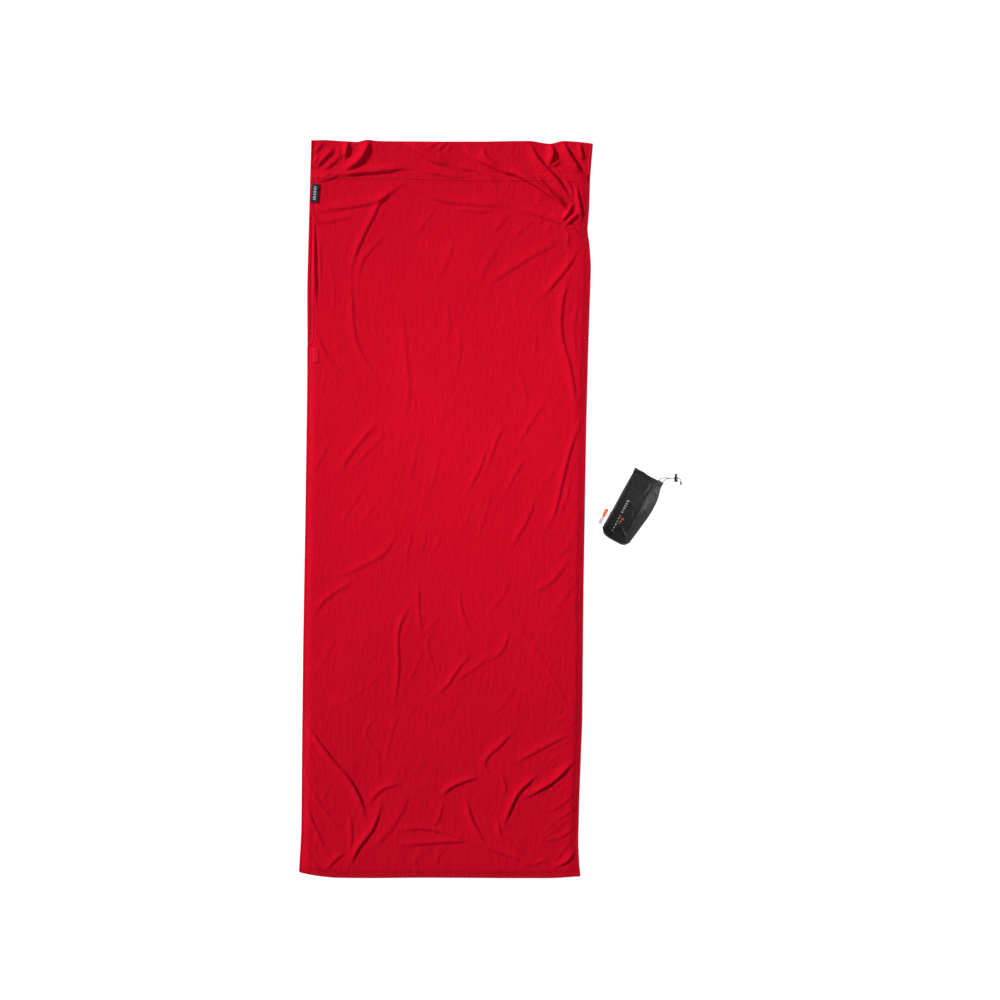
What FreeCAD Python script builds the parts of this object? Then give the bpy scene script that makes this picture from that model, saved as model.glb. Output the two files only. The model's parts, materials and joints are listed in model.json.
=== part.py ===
import FreeCAD, Part
import math
import os
import Sketcher

# A rectangular travel sheet laid out flat, with its drawcord sack beside it.
# Millimetres. +X runs across the sheet, +Y towards the head, +Z up.
# The origin is on the ground, under the middle of the sheet and sack together.

SIZES = {
    # the sheet as it lies, wrinkles taken up
    "sheet_width": 840,
    "sheet_length": 2186,
    "sheet_foot_left_across": -543.53,
    "sheet_foot_left_along": -1085.73,
    "sheet_askew_degrees": 0.97,
    "cloth": 0.8,
    "inside_height": 6.4,
    "seam_width": 12,
    "fold_web_width": 1.4,
    "pocket_depth": 235,
    "pocket_hem_width": 14,
    "layer_gap": 0.3,
    # the open corner of the front panel
    "mouth_along": 2097,
    "slit_end_along": 1572,
    "fold_left_across": 4,
    "fold_right_across": 829,
    "fold_gap": 2,
    "mouth_hem_width": 25,
    "mouth_hem_end": 30,
    "slit_hem_width": 10,
    "hem_thickness": 0.5,
    "patch_across": 18,
    "patch_width": 18,
    "patch_length": 46,
    "patch_below_fold": 8,
    "label_width": 25,
    "label_length": 55,
    "label_along": 2000,
    # the sack, which lies on its side and leans away from the sheet
    "sack_base_across": 399.3,
    "sack_base_along": -86.4,
    "sack_lean_degrees": 28.35,
    "sack_wall": 1.2,
    "sack_mouth_wall": 4,
    "channel_start": 198,
    "channel_end": 212,
    "channel_half_width": 48,
    "channel_half_height": 14,
    "channel_offset": 1.5,
    "channel_middle": 14,
    "mouth_end_radius": 8,
    "binding_start": 15,
    "binding_length": 4,
    "binding_thickness": 1.4,
    "binding_clearance": 0.45,
    "end_overcut": 0.5,
    "ring_overcut": 1,
    "tag_width": 18,
    "tag_length": 48,
    "tag_thickness": 0.6,
    "tag_start": 15,
    "tag_clearance": 1.4,
    "seam_tag_width": 5,
    "seam_tag_length": 7,
    "seam_tag_below_channel": 1,
    # the drawcord and its lock
    "cord_radius": 1,
    "cord_bore_radius": 1.3,
    "cord_spacing": 2.2,
    "knot_radius": 3,
    "knot_length": 7,
    "knot_near_rounding": 0.6,
    "knot_far_rounding": 2,
    "lock_across": 581.4,
    "lock_along": 80.5,
    "lock_height": 5.7,
    "barrel_radius": 5.2,
    "barrel_length": 16.5,
    "barrel_floor": 1.5,
    "barrel_near_rounding": 2.2,
    "barrel_far_rounding": 0.8,
    "barrel_bore_radius": 3.4,
    "cord_from_barrel_end": 11.5,
    "cord_window_height": 4.8,
    "plunger_radius": 3.2,
    "plunger_start": 7.4,
    "plunger_slot_start": 10.4,
    "plunger_slot_length": 5.8,
    "plunger_stroke": 3.5,
    "button_radius": 4.4,
    "button_length": 4,
    "button_near_rounding": 0.6,
    "button_far_rounding": 1.6,
    "spring_radius": 2.2,
    "spring_wire_radius": 0.25,
    "spring_pitch": 1.6,
    "spring_height": 5.2,
    "spring_end_gap": 0.1,
}

# The sack's cross-sections, row by row. Each number goes on the sheet of sizes under the
# stack's name, the row's number and the column's name, such as body_0_half_width.
SECTION_COLUMNS = ("along", "offset", "half_width", "half_height", "middle")
SECTIONS = {
    "body": [
        (15.5, -1.7, 46.7, 24.0, 26.0),
        (60.0, 2.0, 49.5, 27.0, 27.1),
        (110.0, 5.2, 52.8, 26.5, 26.6),
        (160.0, 5.4, 51.8, 21.0, 21.1),
        (198.0, 1.5, 47.4, 13.4, 14.0),
    ],
    "base": [
        (15.5, -1.7, 46.7, 24.0, 26.0),
        (5.0, -1.4, 43.0, 22.0, 26.0),
        (-3.0, -0.5, 34.0, 17.0, 26.0),
        (-8.0, 1.0, 20.0, 10.0, 26.0),
    ],
}
for stack, rows in SECTIONS.items():
    for number, row in enumerate(rows):
        for column, value in zip(SECTION_COLUMNS, row):
            SIZES["%s_%d_%s" % (stack, number, column)] = value

# The drawcord's two free ends: out of the channel's rim, together through the lock, and
# round to the knot. Points in the row's own axes, without the spacing between the two.
LEFT_END_START = [
    (529.6, 85.0, 5.4),
    (536.0, 91.2, 5.0),
    (548.0, 93.4, 4.8),
    (561.5, 92.1, 4.6),
]
RIGHT_END_START = [
    (541.4, 78.6, 14.0),
    (545.6, 85.0, 11.4),
    (553.0, 89.6, 8.6),
    (562.5, 91.9, 6.9),
]
SHARED_TAIL = [
    (586.6, 92.0, 5.7),
    (590.6, 91.2, 5.5),
    (593.9, 88.9, 5.2),
    (595.9, 85.4, 4.9),
    (596.0, 81.4, 4.6),
]

SPRING_STEPS_PER_TURN = 10
BEND_SHARE_OF_RUN = 0.45

doc = FreeCAD.newDocument("travel_sheet")
sheet = doc.addObject("Spreadsheet::Sheet", "Sizes")
for row, (name, value) in enumerate(SIZES.items(), start=1):
    cell_address = "A%d" % row
    sheet.set(cell_address, str(value))
    sheet.setAlias(cell_address, name)
doc.recompute()

parts = {}


def size(name):
    return float(sheet.get(name))


def vector(x, y, z=0.0):
    return FreeCAD.Vector(x, y, z)


def turned(placement, angle, axis):
    return placement.multiply(FreeCAD.Placement(vector(0, 0), FreeCAD.Rotation(axis, angle)))


def moved(placement, x, y, z=0.0):
    return placement.multiply(FreeCAD.Placement(vector(x, y, z), FreeCAD.Rotation()))


X_AXIS = vector(1, 0, 0)
Z_AXIS = vector(0, 0, 1)

on_sheet = FreeCAD.Placement(
    vector(size("sheet_foot_left_across"), size("sheet_foot_left_along")),
    FreeCAD.Rotation(Z_AXIS, -size("sheet_askew_degrees")),
)
on_sack = FreeCAD.Placement(
    vector(size("sack_base_across"), size("sack_base_along")),
    FreeCAD.Rotation(Z_AXIS, -size("sack_lean_degrees")),
)
on_lock = FreeCAD.Placement(
    vector(size("lock_across"), size("lock_along"), size("lock_height")),
    FreeCAD.Rotation(),
)


def keep(item, name):
    """Name an object as one of the finished pieces."""
    item.Label = name
    parts[name] = item
    return item


def bind(item, **expressions):
    """Tie an object's properties to expressions on the sheet of sizes."""
    for prop, expression in expressions.items():
        item.setExpression(prop, expression)
    return item


def cells(text):
    """Write size names in an expression as the spreadsheet's cells."""
    words = text.replace("(", " ( ").replace(")", " ) ").split()
    return " ".join("Sizes." + word if word in SIZES else word for word in words)


def measured(text):
    """The value of an expression on the sheet of sizes."""
    total = 0.0
    sign = 1.0
    for word in text.split():
        if word in "+-":
            sign = -1.0 if word == "-" else 1.0
        else:
            total += sign * (size(word) if word in SIZES else float(word))
    return total


def strip(name, base, start, width, length, thickness):
    """A flat strip of cloth: a box whose lowest corner is start, on the placement base."""
    item = doc.addObject("Part::Box", name + "_box")
    bind(item, Length=cells(width), Width=cells(length), Height=cells(thickness))
    item.Placement = moved(base, *[measured(text) for text in start])
    return item


def origin_plane(body, role):
    for feature in body.Origin.OriginFeatures:
        if feature.Role == role:
            return feature
    raise RuntimeError("no plane " + role)


def pin_corner(sketch, line, across, along):
    """Hold the start of a line at a place given by two expressions, 0 meaning on the axis."""
    if across == "0":
        sketch.addConstraint(Sketcher.Constraint("PointOnObject", line, 1, -2))
    else:
        sketch.addConstraint(Sketcher.Constraint("DistanceX", -1, 1, line, 1, measured(across)))
        sketch.setExpression("Constraints[%d]" % (sketch.ConstraintCount - 1), cells(across))
    if along == "0":
        sketch.addConstraint(Sketcher.Constraint("PointOnObject", line, 1, -1))
    else:
        sketch.addConstraint(Sketcher.Constraint("DistanceY", -1, 1, line, 1, measured(along)))
        sketch.setExpression("Constraints[%d]" % (sketch.ConstraintCount - 1), cells(along))


def cloth_outline(name, corners, height):
    """A flat layer of cloth cut to straight edges between corners."""
    body = doc.addObject("PartDesign::Body", name)
    sketch = body.newObject("Sketcher::SketchObject", name + "_outline")
    sketch.AttachmentSupport = [(origin_plane(body, "XY_Plane"), "")]
    sketch.MapMode = "FlatFace"
    places = [vector(measured(across), measured(along)) for across, along in corners]
    count = len(places)
    for line in range(count):
        sketch.addGeometry(Part.LineSegment(places[line], places[(line + 1) % count]), False)
    for line in range(count):
        sketch.addConstraint(Sketcher.Constraint("Coincident", line, 2, (line + 1) % count, 1))
    for line, (across, along) in enumerate(corners):
        pin_corner(sketch, line, across, along)
    pad = body.newObject("PartDesign::Pad", name + "_pad")
    pad.Profile = sketch
    pad.Length = size("cloth")
    pad.setExpression("Length", cells("cloth"))
    sketch.Visibility = False
    body.Tip = pad
    body.Placement = moved(on_sheet, 0, 0, height)
    return keep(body, name)


def section(name, row, along, change):
    """An upright elliptical section across the sack, with a change made to its row's size."""
    half_width = row + "_half_width" + change
    half_height = row + "_half_height" + change
    item = doc.addObject("Part::Ellipse", name)
    item.MajorRadius = measured(half_width)
    item.MinorRadius = measured(half_height)
    bind(item, MajorRadius=cells(half_width), MinorRadius=cells(half_height))
    middle = moved(on_sack, size(row + "_offset"), measured(along), size(row + "_middle"))
    item.Placement = turned(middle, 90, X_AXIS)
    return item


def lofted(name, sections):
    item = doc.addObject("Part::Loft", name)
    item.Sections = sections
    item.Solid = True
    item.Ruled = False
    return item


def cut(name, base, tool):
    item = doc.addObject("Part::Cut", name)
    item.Base = base
    item.Tool = tool
    return item


def fused(name, shapes):
    item = doc.addObject("Part::MultiFuse", name)
    item.Shapes = shapes
    return item


def rounded_ends(cylinder, name):
    """Round a cylinder's two end edges by the sizes kept under a name."""
    near = size(name + "_near_rounding")
    far = size(name + "_far_rounding")
    item = doc.addObject("Part::Fillet", name + "_rounded")
    item.Base = cylinder
    item.Edges = [(3, near, near), (1, far, far)]
    return item


def sack_shell(name, stack, first_shift, last_shift):
    """A hollow shell through a stack of sections; the hollow's two ends are shifted along."""
    count = len(SECTIONS[stack])
    shifts = [""] * count
    shifts[0] = first_shift
    shifts[-1] = last_shift
    outer = []
    inner = []
    for number in range(count):
        row = "%s_%d" % (stack, number)
        along = row + "_along"
        outer.append(section("%s_outer_%d" % (name, number), row, along, ""))
        inner.append(
            section("%s_inner_%d" % (name, number), row, along + shifts[number], " - sack_wall")
        )
    shell = cut(name + "_shell", lofted(name + "_outer", outer), lofted(name + "_inner", inner))
    return keep(shell, name)


def rounded_route(points):
    """A wire of straight runs joined by arcs as large as the runs allow, and its least radius."""
    places = [vector(*point) for point in points]
    edges = []
    radii = []
    last = places[0]
    for before, here, after in zip(places, places[1:], places[2:]):
        coming = here.sub(before)
        going = after.sub(here)
        shorter = min(coming.Length, going.Length)
        coming.normalize()
        going.normalize()
        half_turn = coming.getAngle(going) / 2
        reach = BEND_SHARE_OF_RUN * shorter
        radius = reach / math.tan(half_turn)
        start = here.sub(coming * reach)
        end = here.add(going * reach)
        inward = going.sub(coming)
        inward.normalize()
        middle = here.add(inward * (radius / math.cos(half_turn) - radius))
        edges.append(Part.LineSegment(last, start).toShape())
        edges.append(Part.Arc(start, middle, end).toShape())
        radii.append(radius)
        last = end
    edges.append(Part.LineSegment(last, places[-1]).toShape())
    return Part.Wire(edges), min(radii)


def round_cord(name, points, radius):
    """A plain tube along a route."""
    wire, least = rounded_route(points)
    first = vector(*points[0])
    heading = vector(*points[1]).sub(first)
    profile = Part.Wire([Part.makeCircle(size(radius), first, heading)])
    item = doc.addObject("Part::Feature", name + "_tube")
    item.Shape = wire.makePipeShell([profile], True, False)
    expected = math.pi * size(radius) ** 2 * wire.Length
    print("%s length %.1f least radius %.1f volume ratio %.3f"
          % (name, wire.Length, least, item.Shape.Volume / expected))
    return keep(item, name)


def raised(points, rise):
    return [(x, y, z + rise) for x, y, z in points]


# ---- the sheet ----

front_low = size("cloth") + size("inside_height")

WHOLE_WIDTH = "sheet_width"
RIGHT_SEAM_START = "sheet_width - seam_width"
POCKET_EDGE = "sheet_length - pocket_depth"


def build_back():
    cloth_outline(
        "back_panel",
        [("0", "0"), (WHOLE_WIDTH, "0"), (WHOLE_WIDTH, "sheet_length"), ("0", "sheet_length")],
        0,
    )


def build_front():
    mouth = "mouth_along"
    slit = "slit_end_along"
    cloth_outline(
        "front_panel",
        [
            ("0", "0"),
            (WHOLE_WIDTH, "0"),
            (WHOLE_WIDTH, mouth),
            ("fold_right_across + fold_gap", mouth),
            ("0", slit + " - fold_gap"),
        ],
        front_low,
    )
    cloth_outline(
        "front_corner_flap",
        [
            ("fold_left_across", slit + " + fold_gap"),
            ("fold_right_across - fold_gap", mouth),
            ("fold_left_across", mouth),
        ],
        front_low,
    )


def build_pocket():
    """The back panel's end, folded over at the head; the fold is a narrow web."""
    low = "cloth + layer_gap"
    across = "seam_width"
    width = "sheet_width - seam_width - seam_width"
    layer = strip(
        "pocket_layer", on_sheet,
        (across, POCKET_EDGE + " + pocket_hem_width", low),
        width, "pocket_depth - pocket_hem_width", "cloth",
    )
    fold = strip(
        "pocket_fold", on_sheet,
        (across, "sheet_length - fold_web_width", "cloth"),
        width, "fold_web_width", "layer_gap",
    )
    keep(fused("pocket_folded", [layer, fold]), "pillow_pocket")
    hem = strip(
        "pocket_hem", on_sheet, (across, POCKET_EDGE, low), width, "pocket_hem_width",
        "cloth + hem_thickness",
    )
    keep(hem, "pocket_hem")


def build_seams():
    seam = "seam_width"
    rows = [
        ("foot_seam", "0", "0", WHOLE_WIDTH, seam, "inside_height"),
        ("left_side_seam", "0", seam, seam, "slit_end_along - fold_gap - seam_width",
         "inside_height"),
        ("right_side_seam", RIGHT_SEAM_START, seam, seam, "mouth_along - seam_width",
         "inside_height"),
        ("pocket_seam_left", "0", POCKET_EDGE, seam, "pocket_depth", "cloth + layer_gap"),
        ("pocket_seam_right", RIGHT_SEAM_START, "mouth_along", seam,
         "sheet_length - mouth_along", "cloth + layer_gap"),
    ]
    for name, across, along, width, length, thickness in rows:
        keep(strip(name, on_sheet, (across, along, "cloth"), width, length, thickness), name)


def build_hems():
    top = "cloth + inside_height + cloth"
    mouth_hem = strip(
        "mouth_hem", on_sheet,
        ("fold_left_across", "mouth_along - mouth_hem_width", top),
        "fold_right_across - fold_left_across - mouth_hem_width - mouth_hem_end - mouth_hem_end",
        "mouth_hem_width", "hem_thickness",
    )
    keep(mouth_hem, "mouth_hem")
    slit_hem = strip(
        "slit_hem_front", on_sheet, ("fold_left_across", "slit_end_along + mouth_hem_end", top),
        "slit_hem_width", "mouth_along - mouth_hem_width - slit_end_along - mouth_hem_end",
        "hem_thickness",
    )
    keep(slit_hem, "slit_hem_front")
    back_hem = strip(
        "slit_hem_back", on_sheet, ("0", "slit_end_along", "cloth"),
        "slit_hem_width", "sheet_length - pocket_depth - slit_end_along", "hem_thickness",
    )
    keep(back_hem, "slit_hem_back")
    patch = strip(
        "slit_stop_patch", on_sheet,
        ("patch_across", "slit_end_along - patch_below_fold - patch_length", top),
        "patch_width", "patch_length", "hem_thickness",
    )
    keep(patch, "slit_stop_patch")
    label = strip(
        "woven_label", on_sheet, ("fold_left_across", "label_along", top + " + hem_thickness"),
        "label_width", "label_length", "hem_thickness",
    )
    keep(label, "woven_label")


# ---- the sack ----


def build_sack_shells():
    sack_shell("sack_body", "body", " - end_overcut", " + end_overcut")
    sack_shell("sack_base", "base", " + end_overcut", " + sack_wall")


def elliptical_ring(name, row, start, end, outer, inner):
    """A ring round the sack; outer and inner are changes made to its row's size."""
    sides = [
        ("out", start, end, outer),
        ("in", start + " - ring_overcut", end + " + ring_overcut", inner),
    ]
    solids = []
    for side, low, high, change in sides:
        near = section("%s_%s_near" % (name, side), row, low, change)
        far = section("%s_%s_far" % (name, side), row, high, change)
        solids.append(lofted("%s_%s" % (name, side), [near, far]))
    return cut(name + "_ring", *solids)


def build_base_binding():
    ring = elliptical_ring(
        "binding", "body_0", "binding_start", "binding_start + binding_length",
        " + binding_clearance + binding_thickness", " + binding_clearance",
    )
    keep(ring, "sack_base_binding")


def oval_path(half_width, half_height, end_radius):
    """A closed oval of four tangent arcs, flat in X and Z, round the origin."""
    reach = half_width - end_radius
    side_radius = (reach ** 2 + half_height ** 2 - end_radius ** 2) / (
        2 * (half_height - end_radius)
    )
    turn = math.atan2(side_radius - half_height, reach)
    tip_across = reach + end_radius * math.cos(turn)
    tip_up = end_radius * math.sin(turn)
    corners = {}
    for across in (-1, 1):
        for up in (-1, 1):
            corners[across, up] = vector(across * tip_across, 0, up * tip_up)
    right = Part.Arc(corners[1, -1], vector(half_width, 0), corners[1, 1])
    top = Part.Arc(corners[1, 1], vector(0, 0, half_height), corners[-1, 1])
    left = Part.Arc(corners[-1, 1], vector(-half_width, 0), corners[-1, -1])
    bottom = Part.Arc(corners[-1, -1], vector(0, 0, -half_height), corners[1, -1])
    return Part.Wire([arc.toShape() for arc in (right, top, left, bottom)])


def cord_round_mouth(name, radius):
    """A tube along the middle of the channel's wall."""
    inset = size("sack_mouth_wall") / 2
    distance = (size("channel_start") + size("channel_end")) / 2
    path = oval_path(
        size("channel_half_width") - inset,
        size("channel_half_height") - inset,
        size("mouth_end_radius"),
    )
    start = path.OrderedVertexes[0].Point
    heading = path.OrderedEdges[0].tangentAt(path.OrderedEdges[0].FirstParameter)
    profile = Part.Wire([Part.makeCircle(size(radius), start, heading)])
    tube = doc.addObject("Part::Feature", name + "_tube")
    tube.Shape = path.makePipeShell([profile], True, False)
    tube.Placement = moved(on_sack, size("channel_offset"), distance, size("channel_middle"))
    return tube


def cord_exit(name, points):
    """The hole in the channel's rim that one end of the cord comes out of."""
    hole = doc.addObject("Part::Cylinder", name)
    bind(hole, Radius=cells("cord_bore_radius"), Height=cells("channel_end - channel_start"))
    start = on_sack.inverse().multVec(vector(*points[0]))
    depth = (size("channel_end") - size("channel_start")) / 2
    inner_end = moved(on_sack, start.x, start.y - depth, start.z)
    hole.Placement = turned(inner_end, -90, X_AXIS)
    return hole


def build_channel():
    whole = elliptical_ring(
        "channel", "channel", "channel_start", "channel_end", "", " - sack_mouth_wall"
    )
    hollow = cut("channel_hollow", whole, cord_round_mouth("channel_bore", "cord_bore_radius"))
    exits = fused(
        "channel_exits",
        [cord_exit("left_exit", LEFT_END_START), cord_exit("right_exit", RIGHT_END_START)],
    )
    keep(cut("channel_open", hollow, exits), "sack_mouth_channel")
    keep(cord_round_mouth("channel_cord", "cord_radius"), "channel_cord")


def build_tags():
    seam_side = measured("body_1_offset - body_1_half_width - tag_clearance")
    tag = doc.addObject("Part::Box", "side_tag_box")
    bind(
        tag, Length=cells("tag_width"), Width=cells("tag_length"), Height=cells("tag_thickness")
    )
    tag.Placement = moved(
        on_sack, seam_side - size("tag_width"), size("tag_start"), size("body_0_half_height") / 2
    )
    keep(tag, "sack_side_tag")
    small = doc.addObject("Part::Box", "seam_tag_box")
    bind(
        small, Length=cells("seam_tag_width"), Width=cells("seam_tag_length"),
        Height=cells("tag_thickness"),
    )
    across = "channel_offset - channel_half_width - layer_gap - seam_tag_width"
    along = "channel_start - seam_tag_length - seam_tag_below_channel"
    small.Placement = moved(on_sack, measured(across), measured(along), size("channel_middle"))
    keep(small, "sack_seam_tag")


# ---- the drawcord's free ends and the lock ----


def build_cords():
    half = size("cord_spacing") / 2
    left = LEFT_END_START + raised(SHARED_TAIL, -half)
    right = RIGHT_END_START + raised(SHARED_TAIL, half)
    round_cord("drawcord_left", left, "cord_radius")
    round_cord("drawcord_right", right, "cord_radius")
    last = vector(*SHARED_TAIL[-1])
    heading = last.sub(vector(*SHARED_TAIL[-2]))
    knot = doc.addObject("Part::Cylinder", "knot_core")
    bind(knot, Radius=cells("knot_radius"), Height=cells("knot_length"))
    knot.Placement = FreeCAD.Placement(last, FreeCAD.Rotation(Z_AXIS, heading))
    keep(rounded_ends(knot, "knot"), "drawcord_knot")


def along_lock(name, radius, start, length):
    """A cylinder on the lock's own axis."""
    item = doc.addObject("Part::Cylinder", name)
    bind(item, Radius=cells(radius), Height=cells(length))
    item.Placement = turned(moved(on_lock, 0, measured(start)), -90, X_AXIS)
    return item


def cord_window(name, start, length):
    """A slot right across the lock for the two strands, one above the other."""
    item = doc.addObject("Part::Box", name)
    bind(
        item, Length=cells("barrel_radius + barrel_radius + barrel_radius"),
        Width=cells(length), Height=cells("cord_window_height"),
    )
    item.Placement = moved(
        on_lock, -1.5 * size("barrel_radius"), measured(start), -size("cord_window_height") / 2
    )
    return item


def build_lock():
    core = along_lock("barrel_core", "barrel_radius", "0", "barrel_length")
    barrel = rounded_ends(core, "barrel")
    doc.recompute()
    bore = along_lock("barrel_bore", "barrel_bore_radius", "barrel_floor", "barrel_length")
    window = cord_window(
        "barrel_window", "cord_from_barrel_end - cord_bore_radius",
        "cord_bore_radius + cord_bore_radius",
    )
    keep(cut("barrel_open", cut("barrel_bored", barrel, bore), window), "lock_barrel")

    stem = along_lock(
        "plunger_stem", "plunger_radius", "plunger_start",
        "barrel_length + plunger_stroke - plunger_start",
    )
    button_core = along_lock(
        "button_core", "button_radius", "barrel_length + plunger_stroke", "button_length"
    )
    button = rounded_ends(button_core, "button")
    doc.recompute()
    slot = cord_window("plunger_window", "plunger_slot_start", "plunger_slot_length")
    whole = fused("plunger_whole", [stem, button])
    keep(cut("plunger_slotted", whole, slot), "lock_plunger")


def build_spring():
    """The coil spring under the plunger, its turns made of short tangent arcs."""
    start = measured("barrel_floor + spring_wire_radius + spring_end_gap")
    turns = size("spring_height") / size("spring_pitch")
    steps = int(turns * SPRING_STEPS_PER_TURN)
    points = []
    for step in range(steps + 1):
        angle = 2 * math.pi * step / SPRING_STEPS_PER_TURN
        rise = size("spring_pitch") * step / SPRING_STEPS_PER_TURN
        here = vector(
            size("spring_radius") * math.cos(angle),
            start + rise,
            size("spring_radius") * math.sin(angle),
        )
        points.append(tuple(on_lock.multVec(here)))
    round_cord("lock_spring", points, "spring_wire_radius")


def check_and_write():
    """Stop on anything broken, then write each piece."""
    doc.recompute()
    for item in doc.Objects:
        if "Invalid" in item.State or "Error" in item.State:
            raise RuntimeError("%s is %s" % (item.Label, item.State))
    os.makedirs("parts", exist_ok=True)
    for name, item in parts.items():
        shape = item.Shape
        if shape.isNull() or not shape.isValid() or not shape.Solids:
            raise RuntimeError(name + " is not a valid solid")
        shape.exportStep(os.path.join("parts", name + ".step"))
        box = shape.BoundBox
        print("%-20s volume %10.1f  x %.1f %.1f  y %.1f %.1f  z %.1f %.1f" % (
            name, shape.Volume, box.XMin, box.XMax, box.YMin, box.YMax, box.ZMin, box.ZMax))


build_back()
build_front()
build_pocket()
build_seams()
build_hems()
build_sack_shells()
build_base_binding()
build_channel()
build_tags()
build_cords()
build_lock()
build_spring()
check_and_write()
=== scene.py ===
import json
import math

import bpy
import numpy as np
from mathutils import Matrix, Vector
from mathutils.bvhtree import BVHTree

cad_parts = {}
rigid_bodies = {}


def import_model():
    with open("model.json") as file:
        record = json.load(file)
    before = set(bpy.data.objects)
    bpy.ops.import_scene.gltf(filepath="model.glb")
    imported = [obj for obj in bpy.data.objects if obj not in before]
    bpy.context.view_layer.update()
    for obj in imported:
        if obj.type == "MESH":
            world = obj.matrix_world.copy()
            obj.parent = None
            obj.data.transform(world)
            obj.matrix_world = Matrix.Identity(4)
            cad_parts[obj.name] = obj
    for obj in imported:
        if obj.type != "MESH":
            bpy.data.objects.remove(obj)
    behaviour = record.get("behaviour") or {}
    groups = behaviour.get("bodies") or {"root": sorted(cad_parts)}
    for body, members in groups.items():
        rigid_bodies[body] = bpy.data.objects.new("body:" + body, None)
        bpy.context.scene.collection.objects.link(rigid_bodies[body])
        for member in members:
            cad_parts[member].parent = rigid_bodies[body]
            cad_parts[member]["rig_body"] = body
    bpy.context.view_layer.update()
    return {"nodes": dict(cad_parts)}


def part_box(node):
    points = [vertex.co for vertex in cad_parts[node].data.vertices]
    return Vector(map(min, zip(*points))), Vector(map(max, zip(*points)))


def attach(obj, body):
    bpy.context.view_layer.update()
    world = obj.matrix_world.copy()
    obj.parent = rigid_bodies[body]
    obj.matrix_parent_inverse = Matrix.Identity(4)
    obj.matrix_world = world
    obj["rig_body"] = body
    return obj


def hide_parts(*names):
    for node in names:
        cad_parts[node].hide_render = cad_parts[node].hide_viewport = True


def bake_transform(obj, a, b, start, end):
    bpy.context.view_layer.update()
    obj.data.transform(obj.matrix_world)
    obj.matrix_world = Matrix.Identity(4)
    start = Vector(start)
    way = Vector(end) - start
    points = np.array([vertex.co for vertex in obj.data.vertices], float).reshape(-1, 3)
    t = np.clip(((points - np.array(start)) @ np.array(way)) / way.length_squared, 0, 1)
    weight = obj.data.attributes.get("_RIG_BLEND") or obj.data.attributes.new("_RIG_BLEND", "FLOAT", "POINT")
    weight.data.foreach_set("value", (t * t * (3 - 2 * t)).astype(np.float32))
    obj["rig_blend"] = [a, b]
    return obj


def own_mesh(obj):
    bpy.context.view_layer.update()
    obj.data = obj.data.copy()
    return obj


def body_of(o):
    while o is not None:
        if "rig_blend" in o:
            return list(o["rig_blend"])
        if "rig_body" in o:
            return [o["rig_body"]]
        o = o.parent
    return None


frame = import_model()

MM = 0.001
CM = 0.01
SEED = 41


# ---- camera and light helpers

VIEW_CENTRE = (0.0566, 0.0268)
LENS_MM = 85.0
CAMERA_HEIGHT = 7.045
FAR_CLIP = 60.0


def aimed(obj, place, target):
    obj.location = place
    back = Vector(place) - Vector(target)
    obj.rotation_euler = back.to_track_quat("Z", "Y").to_euler()
    bpy.context.scene.collection.objects.link(obj)
    return obj


def build_camera():
    data = bpy.data.cameras.new("photo_camera")
    data.lens = LENS_MM
    data.clip_end = FAR_CLIP
    camera = bpy.data.objects.new("photo_camera", data)
    camera.location = (*VIEW_CENTRE, CAMERA_HEIGHT)
    bpy.context.scene.collection.objects.link(camera)
    bpy.context.scene.camera = camera


def lit_group(light, objects):
    """Keep a light, and the shadows it casts, to one group of objects."""
    group = bpy.data.collections.new(light.name + "_group")
    for obj in objects:
        group.objects.link(obj)
    light.light_linking.receiver_collection = group
    light.light_linking.blocker_collection = group


def soft_light(name, place, target, width, watts, lit):
    """A round soft light."""
    data = bpy.data.lights.new(name, "AREA")
    data.shape = "DISK"
    data.size = width
    data.energy = watts
    lit_group(aimed(bpy.data.objects.new(name, data), place, target), lit)


def far_light(name, direction, spread, strength, lit):
    """A light so far off that it falls evenly on all that it lights."""
    data = bpy.data.lights.new(name, "SUN")
    data.angle = math.radians(spread)
    data.energy = strength
    lit_group(aimed(bpy.data.objects.new(name, data), direction, (0, 0, 0)), lit)


build_camera()


# ---- drawcord ends

CORD_RADIUS = 0.001
STRAND_SPREAD = 0.0011
LEFT_END_START = [
    (0.5296, 0.0850, 0.0054),
    (0.5360, 0.0912, 0.0050),
    (0.5480, 0.0934, 0.0048),
    (0.5615, 0.0921, 0.0046),
]
RIGHT_END_START = [
    (0.5414, 0.0786, 0.0140),
    (0.5456, 0.0850, 0.0114),
    (0.5530, 0.0896, 0.0086),
    (0.5625, 0.0919, 0.0069),
]
SHARED_TAIL = [
    (0.5866, 0.0920, 0.0057),
    (0.5906, 0.0912, 0.0055),
    (0.5939, 0.0889, 0.0052),
    (0.5959, 0.0854, 0.0049),
    (0.5960, 0.0814, 0.0046),
]


def strand(name, start, rise):
    """One free end of the drawcord, as a smooth open spline through its route."""
    route = list(start)
    route += [(x, y, z + rise) for x, y, z in SHARED_TAIL]
    curve = bpy.data.curves.new(name, "CURVE")
    curve.dimensions = "3D"
    curve.bevel_depth = CORD_RADIUS
    curve.bevel_resolution = 4
    curve.use_fill_caps = True
    spline = curve.splines.new("NURBS")
    spline.points.add(len(route) - 1)
    for point, place in zip(spline.points, route):
        point.co = (*place, 1.0)
    spline.order_u = 3
    spline.use_endpoint_u = True
    spline.resolution_u = 12
    obj = bpy.data.objects.new(name, curve)
    bpy.context.scene.collection.objects.link(obj)
    return obj


left_strand = strand("drawcord_left_strand", LEFT_END_START, -STRAND_SPREAD)
right_strand = strand("drawcord_right_strand", RIGHT_END_START, STRAND_SPREAD)


# ---- shader helpers


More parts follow.
